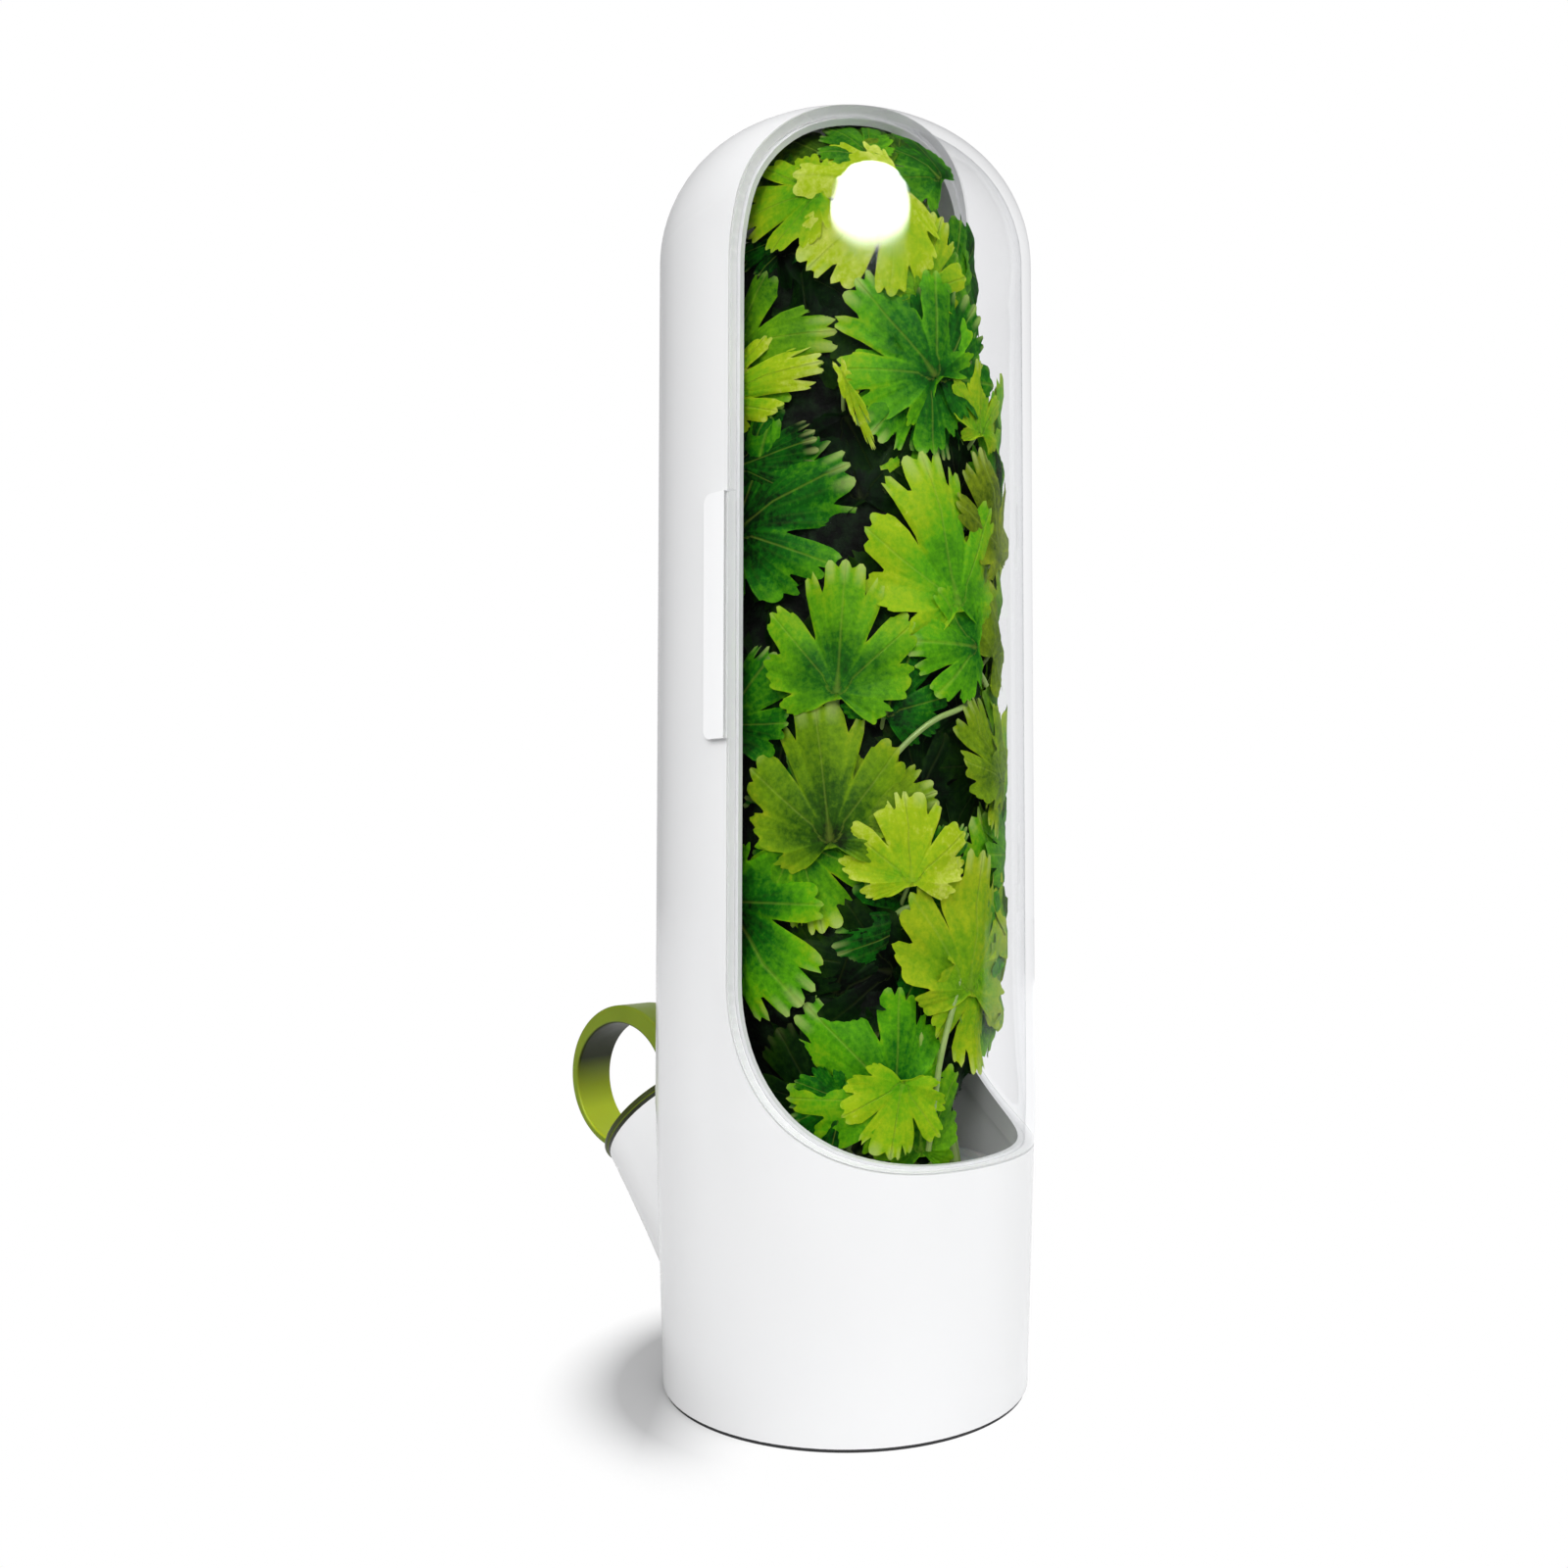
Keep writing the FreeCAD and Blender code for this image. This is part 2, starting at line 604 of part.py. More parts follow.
def beside_spoke(radius):
    """Where the edge of the first spoke crosses a circle round the grid's centre."""
    along = root_of(radius * radius - spoke_half * spoke_half)
    return (along * cosine(spoke_turn) + spoke_half * sine(spoke_turn),
            along * sine(spoke_turn) - spoke_half * cosine(spoke_turn))


hub_x, hub_y = beside_spoke(hub_radius)
band_x, band_y = beside_spoke(band_bore)
gap_outline = draw(body_sketch(stem_grid, "stem_gap_outline", "XY_Plane"),
                   [(hub_x, -hub_y), (band_x, -band_y), (band_x, band_y), (hub_x, hub_y)],
                   {1: band_bore})
pocket_round(stem_grid, "stem_gap", gap_outline, spoke_count)
bind(stem_grid, Placement__Base__z=plate_top + "basket_seat" + rim_low)

# cap_seal: the dark ring pinched between the mouth and the stopper's flange
plug_radius = bore_radius - "plug_play"
flange_radius = mouth_radius + "flange_over"
seal_thick = size("seal_thick")
cap_seal = doc.addObject("PartDesign::Body", "cap_seal")
revolve(cap_seal, "seal_ring",
        [(plug_radius, 0), (mouth_radius, 0), (mouth_radius, seal_thick), (plug_radius, seal_thick)])
on_mouth(cap_seal)

# fill_cap: hollow plug with two sealing lips, a flange and a finger loop, moulded in one
fill_cap = doc.addObject("PartDesign::Body", "fill_cap")
plug_depth = size("plug_depth")
plug_neck = plug_radius - "plug_neck"
lip_height = size("lip_height")
lip_step = lip_height / 2
lip_low = lip_height - plug_depth
flange_top = seal_thick + "flange_thick"
plug_hollow = plug_neck - "plug_wall"
revolve(fill_cap, "plug",
        [(0, 0), (plug_hollow, 0), (plug_hollow, -plug_depth), (plug_neck, -plug_depth),
         (plug_neck, lip_low), (plug_radius, lip_low + lip_step),
         (plug_radius, lip_low + lip_step * 2), (plug_neck, lip_low + lip_step * 3),
         (plug_neck, -lip_height), (plug_radius, -lip_step),
         (plug_radius, seal_thick), (flange_radius, seal_thick), (flange_radius, flange_top),
         (0, flange_top)])
doc.recompute()
loop_radius = size("loop_radius")
loop_rise = size("loop_rise")
finger_radius = size("finger_radius")
finger_shift = size("finger_shift")
loop_foot = flange_top - seal_thick
foot_drop = loop_rise - loop_foot
foot_reach = root_of(loop_radius * loop_radius - foot_drop * foot_drop)
flange_drop = loop_rise - flange_top
finger_reach = root_of(finger_radius * finger_radius - flange_drop * flange_drop)
loop_pad = fill_cap.newObject("PartDesign::Pad", "loop")
loop_pad.Profile = draw(
    body_sketch(fill_cap, "loop_outline", "YZ_Plane"),
    [(foot_reach, loop_foot), (0, loop_rise + loop_radius), (-foot_reach, loop_foot)],
    {0: loop_radius, 1: loop_radius})
loop_pad.SideType = "Symmetric"
bind(loop_pad, Length="loop_width")
doc.recompute()
finger_cut = fill_cap.newObject("PartDesign::Pocket", "finger_hole")
finger_cut.Profile = draw(
    body_sketch(fill_cap, "finger_outline", "YZ_Plane"),
    [(finger_shift + finger_reach, flange_top), (finger_shift, loop_rise + finger_radius),
     (finger_shift - finger_reach, flange_top)],
    {0: finger_radius, 1: finger_radius})
finger_cut.SideType = "Symmetric"
finger_cut.Type = "ThroughAll"
doc.recompute()


def round_edges(feature, radius):
    """Names of a feature's circular edges that have a given radius."""
    names = []
    for number, edge in enumerate(feature.Shape.Edges, start=1):
        curve = edge.Curve
        if isinstance(curve, Part.Circle) and abs(curve.Radius - size(radius).value) < 1e-6:
            names.append("Edge%d" % number)
    return names


soft_edges = fill_cap.newObject("PartDesign::Fillet", "soft_edges")
soft_edges.Base = (finger_cut, round_edges(finger_cut, "loop_radius")
                   + round_edges(finger_cut, "finger_radius")
                   + round_edges(finger_cut, flange_radius))
bind(soft_edges, Radius="loop_edge")
fill_cap.Tip = soft_edges
doc.recompute()
on_mouth(fill_cap)

# ---------------------------------------------------------------- checks and files
nodes = [body_shell, base_plate, base_seal, foot_pad, window_door, hinge_pins, fill_cap, cap_seal,
         herb_basket, stem_grid]
doc.recompute()
for item in doc.Objects:
    if "Invalid" in item.State or "Error" in item.State:
        raise RuntimeError("%s failed: %s" % (item.Name, item.State))
os.makedirs("parts", exist_ok=True)
for node in nodes:
    if node.Shape.isNull() or not node.Shape.isValid():
        raise RuntimeError("%s has no valid shape" % node.Label)
    print("%-12s %d solid(s), %.1f mm3" % (node.Label, len(node.Shape.Solids), node.Shape.Volume))
    node.Shape.exportStep("parts/%s.step" % node.Label)
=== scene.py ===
import math
import random

import bmesh
import bpy
from mathutils import Matrix, Vector, noise


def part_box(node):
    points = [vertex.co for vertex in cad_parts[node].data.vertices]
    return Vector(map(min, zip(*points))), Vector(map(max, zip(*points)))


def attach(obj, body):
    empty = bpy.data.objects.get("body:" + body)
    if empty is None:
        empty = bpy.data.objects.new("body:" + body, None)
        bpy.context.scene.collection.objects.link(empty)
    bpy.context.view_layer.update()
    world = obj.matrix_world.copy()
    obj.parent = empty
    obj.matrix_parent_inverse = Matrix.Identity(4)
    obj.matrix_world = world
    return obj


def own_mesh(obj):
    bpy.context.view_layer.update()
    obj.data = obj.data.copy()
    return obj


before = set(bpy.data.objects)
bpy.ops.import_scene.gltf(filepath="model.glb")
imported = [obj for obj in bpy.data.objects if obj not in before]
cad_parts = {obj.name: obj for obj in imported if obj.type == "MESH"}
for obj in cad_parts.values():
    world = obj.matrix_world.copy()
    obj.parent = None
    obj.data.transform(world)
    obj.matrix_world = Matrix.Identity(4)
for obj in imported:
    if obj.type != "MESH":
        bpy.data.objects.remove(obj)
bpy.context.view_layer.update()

# ---------------------------------------------------------------- pod shell and base plate
# The pod's body is one injection moulding in white ABS, polished in the mould: a deep gloss with a
# very faint orange peel. Wall, hood, ledge, spout and hinge lugs come out of the mould as one. The
# plate that closes it from below is moulded in the same white.
MM = 0.001
MOULDED_WHITE = (0.80, 0.80, 0.80)
WHITE_DULLEST = (0.785, 0.787, 0.79)
WHITE_CLEAREST = (0.815, 0.815, 0.812)
MOULDING_IOR = 1.52
ORANGE_PEEL = 0.02 * MM


class Shade:
    """A value inside one material: a socket with arithmetic, and a maker of further nodes."""

    def __init__(self, tree, socket):
        self.tree = tree
        self.socket = socket

    def node(self, kind, inputs=None, output=0, **settings):
        """Adds any node: its settings are set first, then its sockets by name or number."""
        made = self.tree.nodes.new("ShaderNode" + kind)
        stops = settings.pop("stops", None)
        for name, value in settings.items():
            setattr(made, name, value)
        if stops:
            ramp = made.color_ramp
            while len(ramp.elements) < len(stops):
                ramp.elements.new(1.0)
            for element, (place, colour) in zip(ramp.elements, stops):
                element.position = place
                element.color = (*colour, 1.0)
        for key, value in (inputs or {}).items():
            if isinstance(value, Shade):
                self.tree.links.new(value.socket, made.inputs[key])
            elif isinstance(value, tuple) and len(value) == 3 and made.inputs[key].type == "RGBA":
                made.inputs[key].default_value = (*value, 1.0)
            else:
                made.inputs[key].default_value = value
        return Shade(self.tree, made.outputs[output])

    def math(self, operation, *values):
        """Adds a Math node on this value and the others."""
        return self.node("Math", dict(enumerate((self, *values))), operation=operation)

    def __add__(self, other):
        return self.math("ADD", other)

    def __sub__(self, other):
        return self.math("SUBTRACT", other)

    def __mul__(self, other):
        return self.math("MULTIPLY", other)

    def __truediv__(self, other):
        return self.math("DIVIDE", other)

    def __pow__(self, other):
        return self.math("POWER", other)

    def __radd__(self, other):
        return self.math("ADD", other)

    def __rmul__(self, other):
        return self.math("MULTIPLY", other)

    def __rsub__(self, other):
        return self.node("Math", {0: other, 1: self}, operation="SUBTRACT")

    def part(self, axis):
        """The X, Y or Z of this vector."""
        return self.node("SeparateXYZ", {0: self}, axis)

    def between(self, low, high):
        """0 at low, 1 at high, straight in between and held at the ends."""
        return self.node("MapRange", {"Value": self, "From Min": low, "From Max": high})

    def spread(self, low, high):
        """low where this value is 0, high where it is 1."""
        return self * (high - low) + low

    def blend(self, first, second):
        """Colour that goes from first to second as this value goes from 0 to 1."""
        return self.node("Mix", {0: self, 6: first, 7: second}, 2, data_type="RGBA")

    def cover(self, share, over):
        """This shader with another one over it, by a share from 0 to 1."""
        return self.node("MixShader", {0: share, 1: self, 2: over})


class Finish:
    """A material being made: its tree, its Principled shader and the piece's own coordinates."""

    def __init__(self, name, colour, roughness, **constants):
        self.material = bpy.data.materials.new(name)
        self.material.use_nodes = True
        self.tree = self.material.node_tree
        self.surface = self.tree.nodes["Principled BSDF"]
        self.surface.inputs["Base Color"].default_value = (*colour, 1.0)
        self.surface.inputs["Roughness"].default_value = roughness
        for socket, value in constants.items():
            self.surface.inputs[socket.replace("_", " ")].default_value = value
        coordinates = self.tree.nodes.new("ShaderNodeTexCoord")
        self.place = Shade(self.tree, coordinates.outputs["Object"])
        self.flat = Shade(self.tree, coordinates.outputs["UV"])
        self.plain = Shade(self.tree, self.surface.outputs["BSDF"])

    def speckle(self, per_metre, detail=3.0, roughness=0.5):
        """Cloudy noise from 0 to 1 with so many cells per metre."""
        return self.place.node("TexNoise", {"Vector": self.place, "Scale": per_metre,
                                            "Detail": detail, "Roughness": roughness})

    def give(self, **values):
        """Links values to the shader's sockets."""
        for socket, value in values.items():
            self.tree.links.new(value.socket, self.surface.inputs[socket.replace("_", " ")])

    def relief(self, height, depth, strength):
        """Fine unevenness of the skin: height from 0 to 1 is so deep in metres."""
        bump = self.place.node("Bump", {"Height": height, "Distance": depth, "Strength": strength})
        self.give(Normal=bump)

    def show(self, shader):
        """Makes this shader the surface, in place of the plain one."""
        output = self.tree.nodes["Material Output"]
        self.tree.links.new(shader.socket, output.inputs["Surface"])

    def paint(self, *pieces):
        """Gives these pieces this material and no other."""
        for piece in pieces:
            piece.data.materials.clear()
            piece.data.materials.append(self.material)


pod_white = Finish("polished_white_moulding", MOULDED_WHITE, 0.2, IOR=MOULDING_IOR)
mould_cloud = pod_white.speckle(28.0)
pod_white.give(Base_Color=mould_cloud.blend(WHITE_DULLEST, WHITE_CLEAREST),
               Roughness=mould_cloud.between(0.3, 0.7).spread(0.17, 0.24))
pod_white.relief(pod_white.speckle(700.0, 2.0), ORANGE_PEEL, 0.35)
pod_white.paint(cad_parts["body_shell"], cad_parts["base_plate"])

# ---------------------------------------------------------------- foot pad and base seal
# The foot pad is a disc of dark rubber sheet under the base, seen as a thin line. A ring of black
# rubber in the base plate's groove keeps the water above it.
RUBBER_PALEST = (0.04, 0.04, 0.042)
RUBBER_DARKEST = (0.014, 0.014, 0.015)
SHEET_GRAIN_DEPTH = 0.08 * MM
foot_black = Finish("dark_rubber_sheet", (0.02, 0.02, 0.021), 0.62)
sheet_grain = foot_black.speckle(2600.0)
foot_black.give(Base_Color=sheet_grain.blend(RUBBER_DARKEST, RUBBER_PALEST),
                Roughness=sheet_grain.between(0.3, 0.7).spread(0.5, 0.7))
foot_black.relief(sheet_grain, SHEET_GRAIN_DEPTH, 0.5)
foot_black.paint(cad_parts["foot_pad"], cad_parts["base_seal"])

# ---------------------------------------------------------------- window door and its pins
# The door is a clear polystyrene half shell with thumb tab and knuckles moulded on. It snaps on two
# short pins of drawn stainless wire that are pressed into the pod's lugs.
SILL_FORWARD, SILL_HEIGHT, SILL_RADIUS = -38.4 * MM, 90.2 * MM, 37.0 * MM
HOOD_FORWARD, HOOD_HEIGHT, HOOD_RADIUS = -45.4 * MM, 232.0 * MM, 44.0 * MM
STEP_JOINT = (0.1 * MM, 0.4 * MM)
TAB_START = (-1.35 * MM, -1.1 * MM)
CROWN = (240 * MM, 268 * MM)
STEP_FROST = 0.92
TAB_FROST = 0.45
CROWN_CLEARING = 0.5
CLEAR_TINT = (0.978, 0.979, 0.983)
FROST_WHITE = (0.93, 0.93, 0.93)
door_clear = Finish("clear_moulding", (0.96, 0.97, 0.98), 0.03, Metallic=1.0)
door_smear = door_clear.speckle(45.0, 4.0)
door_clear.give(Roughness=door_smear.between(0.35, 0.8).spread(0.045, 0.075))
door_clear.relief(door_clear.speckle(60.0, 1.0), 0.02 * MM, 0.2)

# the step joint along its rim and the thumb tab are frosted white; the rim follows the door's
# outline as seen from the side, which has an arc at the sill and one at the hood
from_seam = door_clear.place.part("Y")
level = door_clear.place.part("Z")


def inside_arc(forward, past_centre, radius):
    """How far inside the rim a point lies; past_centre is its height beyond the arc's centre."""
    sideways = (from_seam - forward).math("MAXIMUM", 0.0)
    return radius - (sideways ** 2 + past_centre.math("MAXIMUM", 0.0) ** 2) ** 0.5


low_rim = inside_arc(SILL_FORWARD, SILL_HEIGHT - level, SILL_RADIUS)
high_rim = inside_arc(HOOD_FORWARD, level - HOOD_HEIGHT, HOOD_RADIUS)
step_joint = 1 - low_rim.math("MINIMUM", high_rim).between(*STEP_JOINT)
step_frost = step_joint * (STEP_FROST - level.between(*CROWN) * CROWN_CLEARING)
tab_frost = from_seam.between(*TAB_START) * TAB_FROST
frosting = step_frost.math("MAXIMUM", tab_frost)
clear_wall = door_clear.place.node("BsdfTransparent", {"Color": CLEAR_TINT})
frosted_wall = door_clear.place.node("BsdfDiffuse", {"Color": FROST_WHITE})
outer_face = 1 - door_clear.place.node("NewGeometry", output="Backfacing")
edge_gleam = door_clear.place.node("Fresnel", {"IOR": MOULDING_IOR}) * outer_face
door_clear.show(clear_wall.cover(frosting, frosted_wall).cover(edge_gleam, door_clear.plain))
door_clear.paint(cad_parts["window_door"])

STEEL_DULLEST = (0.5, 0.5, 0.5)
STEEL_BRIGHTEST = (0.68, 0.68, 0.67)
pin_steel = Finish("drawn_steel_wire", (0.6, 0.6, 0.6), 0.28, Metallic=1.0)
draw_lines = pin_steel.speckle(1800.0)
pin_steel.give(Roughness=draw_lines.spread(0.2, 0.4),
               Base_Color=draw_lines.blend(STEEL_DULLEST, STEEL_BRIGHTEST))
pin_steel.paint(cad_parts["hinge_pins"])

# ---------------------------------------------------------------- stopper and its seal
# The stopper is a soft olive-green elastomer moulding, satin all over, with a finger loop. A dark
# silicone ring lies between its flange and the spout's rim.
LOOP_RADIUS = 18.3 * MM
FINGER_RADIUS = 15.0 * MM
FINGER_SHIFT = 1.6 * MM
FLANGE_RADIUS = 16.9 * MM
FLANGE_DROP = 11.9 * MM
SPOUT_LEAN = math.radians(47)
SPOUT_AXIS = Vector((0, math.sin(SPOUT_LEAN), math.cos(SPOUT_LEAN)))
SPOUT_DOWN = Vector((0, math.cos(SPOUT_LEAN), -math.sin(SPOUT_LEAN)))
OLIVE_DARK = (0.135, 0.19, 0.008)
OLIVE_LIGHT = (0.20, 0.275, 0.012)
# painted shade and painted glow for the inside of the finger loop
LOOP_PAINTED_SHADE = (0.018, 0.024, 0.002)
LOOP_PAINTED_GLOW = (0.44, 0.55, 0.012)
# painted shade for the flange's rim
FLANGE_PAINTED_SHADE = (0.04, 0.052, 0.01)


def dot(way, direction):
    """How far a place or direction lies along another direction."""
    return way.node("VectorMath", {0: way, 1: tuple(direction)}, "Value", operation="DOT_PRODUCT")


stopper_green = Finish("soft_olive_moulding", (0.30, 0.35, 0.03), 0.4, Specular_IOR_Level=0.3,
                       Subsurface_Weight=0.12, Subsurface_Scale=3 * MM)
cap_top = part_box("fill_cap")[1]
loop_centre = Vector((0, cap_top.y - LOOP_RADIUS, cap_top.z - LOOP_RADIUS))
finger_centre = loop_centre + SPOUT_DOWN * FINGER_SHIFT
off_side = dot(stopper_green.place, (1, 0, 0))
off_level = dot(stopper_green.place, (0, 0, 1)) - finger_centre.z
off_back = dot(stopper_green.place, (0, 1, 0)) - finger_centre.y
off_axis = dot(stopper_green.place, SPOUT_DOWN) - loop_centre.dot(SPOUT_DOWN)
over_flange = dot(stopper_green.place, SPOUT_AXIS) - (loop_centre.dot(SPOUT_AXIS) - FLANGE_DROP)
from_finger = (off_level ** 2 + off_back ** 2) ** 0.5
from_axis = (off_side ** 2 + off_axis ** 2) ** 0.5
finger_wall = 1 - from_finger.between(FINGER_RADIUS + 0.1 * MM, FINGER_RADIUS + 0.5 * MM)
finger_wall = finger_wall * over_flange.between(0.2 * MM, 0.8 * MM)
# painted shade: a dark band round the flange's outer rim, where its edge would be in shade
flange_rim_painted_shade = from_axis.between(FLANGE_RADIUS - 0.3 * MM, FLANGE_RADIUS - 0.05 * MM)
flange_rim_painted_shade = flange_rim_painted_shade * (1 - over_flange.between(0.1 * MM, 0.4 * MM))
# painted light and shade on the finger loop's inner wall: near black towards its top and a painted
# glow of bright lime towards its foot, set by height alone
loop_painted_light = off_level.between(5 * MM, -8 * MM).blend(LOOP_PAINTED_SHADE, LOOP_PAINTED_GLOW)
stopper_cloud = stopper_green.speckle(120.0)
olive_and_painted_light = finger_wall.blend(stopper_cloud.blend(OLIVE_DARK, OLIVE_LIGHT), loop_painted_light)
stopper_green.give(Base_Color=flange_rim_painted_shade.blend(olive_and_painted_light, FLANGE_PAINTED_SHADE),
                   Roughness=stopper_cloud.between(0.3, 0.7).spread(0.33, 0.48))
stopper_green.relief(stopper_green.speckle(1500.0), 0.04 * MM, 0.4)
stopper_green.paint(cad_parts["fill_cap"])

SILICONE_DARKEST = (0.012, 0.014, 0.007)
SILICONE_PALEST = (0.035, 0.04, 0.02)
seal_dark = Finish("dark_silicone", (0.02, 0.022, 0.012), 0.5)
seal_dark.give(Base_Color=seal_dark.speckle(900.0).blend(SILICONE_DARKEST, SILICONE_PALEST))
seal_dark.paint(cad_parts["cap_seal"])

# ---------------------------------------------------------------- basket and stem grid
# Both are thin frosted polypropylene mouldings. The basket is a slotted cup that lifts out, and the
# grid is a six-spoked wheel that sits in it; the cut stems pass between its spokes into the water.
FROSTED_DULLEST = (0.74, 0.765, 0.755)
FROSTED_CLEAREST = (0.81, 0.825, 0.815)
basket_frost = Finish("frosted_polypropylene", (0.78, 0.8, 0.79), 0.45,
                      Subsurface_Weight=0.2, Subsurface_Scale=4 * MM)
frost_grain = basket_frost.speckle(1200.0)
basket_frost.give(Base_Color=frost_grain.blend(FROSTED_DULLEST, FROSTED_CLEAREST),
                  Roughness=frost_grain.spread(0.36, 0.56))
basket_frost.relief(frost_grain, 0.03 * MM, 0.4)
basket_frost.paint(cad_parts["herb_basket"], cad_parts["stem_grid"])

# ---------------------------------------------------------------- bunch of herbs
# A cut bunch of cilantro stands in the basket. Each leaf is a thin fan of three lobes with round
# teeth; the outer ones press against the clear door, and the inner ones, dimmed as painted shade,
# close up to a mass painted near black.
SHOULDER = 246 * MM
ROOM = 36.4 * MM
DOME_ROOM = 26.5 * MM
LEAF_SPAN = math.radians(138)
SIDE_LOBE = math.radians(47)
TOOTH_TURN = math.radians(8)
MIDDLE_LOBE_REACH = 0.80
SIDE_LOBE_REACH = 0.70
SIDE_LOBE_LENGTH = 0.88
SIDE_LOBE_FALL = 0.42
BASE_ROUNDING = 0.3
NARROWEST = 0.07
PLEAT = 0.0035
LOBE_ARCH = 0.03
WAVE = 0.07
WAVES_ALONG = 2.4
DEEPEST_CUP = -0.10
SWAY = 0.10
TOOTH_SIZE = 0.10
TOOTH_VARIETY = 0.06
# how deep each cleft is, its direction from the tip in radians, and its width
CLEFTS = ((0.46, math.radians(30), 0.06), (0.20, 0.24, 0.038),
          (0.24, 1.1, 0.05), (0.30, 1.65, 0.07))
rng = random.Random(7)


def room_at(height):
    """Radius left for the herbs inside the pod at a height."""
    if height < SHOULDER:
        return ROOM
    share = min((height - SHOULDER) / DOME_ROOM, 0.97)
    return ROOM * math.sqrt(1 - share * share)


def leaf_reach(turn, tooth_size):
    """How far the blade goes from its stalk in a direction, measured from the tip's direction."""
    away = abs(turn)
    middle_lobe = max(1 - (away / MIDDLE_LOBE_REACH) ** 2.6, 0) ** 0.42
    toward_middle = max(SIDE_LOBE - away, 0.0) / SIDE_LOBE_REACH
    toward_stalk = max(away - SIDE_LOBE, 0.0)
    side_lobe = SIDE_LOBE_LENGTH * max(1 - toward_middle ** 2, 0.0) ** 0.5
    side_lobe *= 1 - SIDE_LOBE_FALL * toward_stalk
    side_lobe *= min(1.0, max(LEAF_SPAN - away, 0.0) / BASE_ROUNDING) ** 0.6
    cleft = sum(depth * math.exp(-((away - at) / width) ** 2) for depth, at, width in CLEFTS)
    notch = tooth_size * (1 - abs(math.cos(turn / TOOTH_TURN * math.pi)) ** 0.6)
    return max(max(middle_lobe, side_lobe) * (1 - cleft) * (1 - notch), NARROWEST)


def layer_of(layers, name):
    """The layer of that name, made when it is first asked for."""
    return layers.get(name) or layers.new(name)


def leaf_blade(bunch, where, length, turn, tones, warmth, depth, spread=1.0, segments=160):
    """Adds one leaf: a fan from its stalk, laid on the inside of the pod and turned there.

    where is the angle round the pod and the height of the stalk's end; lengths are millimetres,
    and depth is how far it stays behind the door.
    """
    tone_layer = layer_of(bunch.verts.layers.float, "tone")
    warm_layer = layer_of(bunch.verts.layers.float, "warm")
    way_layer = layer_of(bunch.loops.layers.uv, "way")
    before = len(bunch.verts)
    made = bmesh.ops.create_circle(
        bunch, cap_ends=True, cap_tris=True, segments=segments, radius=1.0)
    centre = min(made["verts"], key=lambda vert: vert.co.length)
    bmesh.ops.subdivide_edges(bunch, edges=list(centre.link_edges), cuts=4)
    bunch.verts.ensure_lookup_table()
    tip_way = (-math.sin(math.radians(turn)), math.cos(math.radians(turn)))
    cup = rng.uniform(DEEPEST_CUP, 0.0)
    drift = Vector((rng.uniform(0, 50), 0, 0))
    for number in range(before, len(bunch.verts)):
        vert = bunch.verts[number]
        ring = vert.co.length
        fan = math.atan2(vert.co.x, vert.co.y) * LEAF_SPAN / math.pi
        uneven = noise.noise(drift + Vector((3.5 * fan, 7.0, 0)))
        bearing = fan + SWAY * uneven
        out = ring * leaf_reach(bearing, TOOTH_SIZE + TOOTH_VARIETY * uneven)
        x = math.sin(fan) * out * spread
        y = math.cos(fan) * out
        pleat = PLEAT * math.cos(2 * bearing / TOOTH_TURN * math.pi) * ring
        arch = LOBE_ARCH * math.cos(fan / SIDE_LOBE * 2 * math.pi) * ring * ring
        wave = WAVE * noise.noise(drift + Vector((WAVES_ALONG * x, WAVES_ALONG * y, 0)))
        rise = pleat + arch + wave + cup * (x * x + y * y)
        height = (where[1] + (y * tip_way[1] - x * tip_way[0]) * length) * MM
        room = room_at(height)
        inmost, outmost = 0.3 * room, room * (1 - 0.35 * depth * MM / ROOM)
        radius = room * (1 - depth * MM / ROOM) + rise * length * MM
        radius = max(min(outmost, radius), inmost)
        along = (x * tip_way[1] + y * tip_way[0]) * length * MM
        about = math.radians(where[0]) + along / max(radius, 0.6 * ROOM)
        # tone from stalk to tip is the leaf's youth and painted shade, darker near the stalk
        vert[tone_layer] = tones[0] + (tones[1] - tones[0]) * ring ** 1.1
        vert[warm_layer] = warmth
        for loop in vert.link_loops:
            loop[way_layer].uv = (bearing / (2 * math.pi) + 0.5, out)
        vert.co = (radius * math.cos(about), radius * math.sin(about), height)


def new_piece(name, bunch, finish):
    """Makes a mesh object of a finished bmesh, smooth and in one material."""
    mesh = bpy.data.meshes.new(name)
    bunch.to_mesh(mesh)
    bunch.free()
    mesh.shade_smooth()
    piece = bpy.data.objects.new(name, mesh)
    bpy.context.scene.collection.objects.link(piece)
    finish.paint(piece)
    return piece


# from painted shade at a leaf's heart to its youngest skin; the second row is for leaves that turn
# olive
GREEN_STOPS = (
    (0.0, (0.001, 0.020, 0.002)), (0.2, (0.007, 0.145, 0.003)), (0.46, (0.115, 0.44, 0.003)),
    (0.76, (0.43, 0.62, 0.008)), (1.0, (0.74, 0.82, 0.15)))
OLIVE_STOPS = (
    (0.0, (0.015, 0.02, 0.002)), (0.2, (0.06, 0.09, 0.003)), (0.5, (0.27, 0.31, 0.008)),
    (0.8, (0.57, 0.53, 0.02)), (1.0, (0.78, 0.75, 0.18)))
VEIN_GREEN = (0.42, 0.60, 0.06)
TOOTH_TIP = (0.60, 0.72, 0.22)
LEAF_SKIN_DEPTH = 0.3 * MM


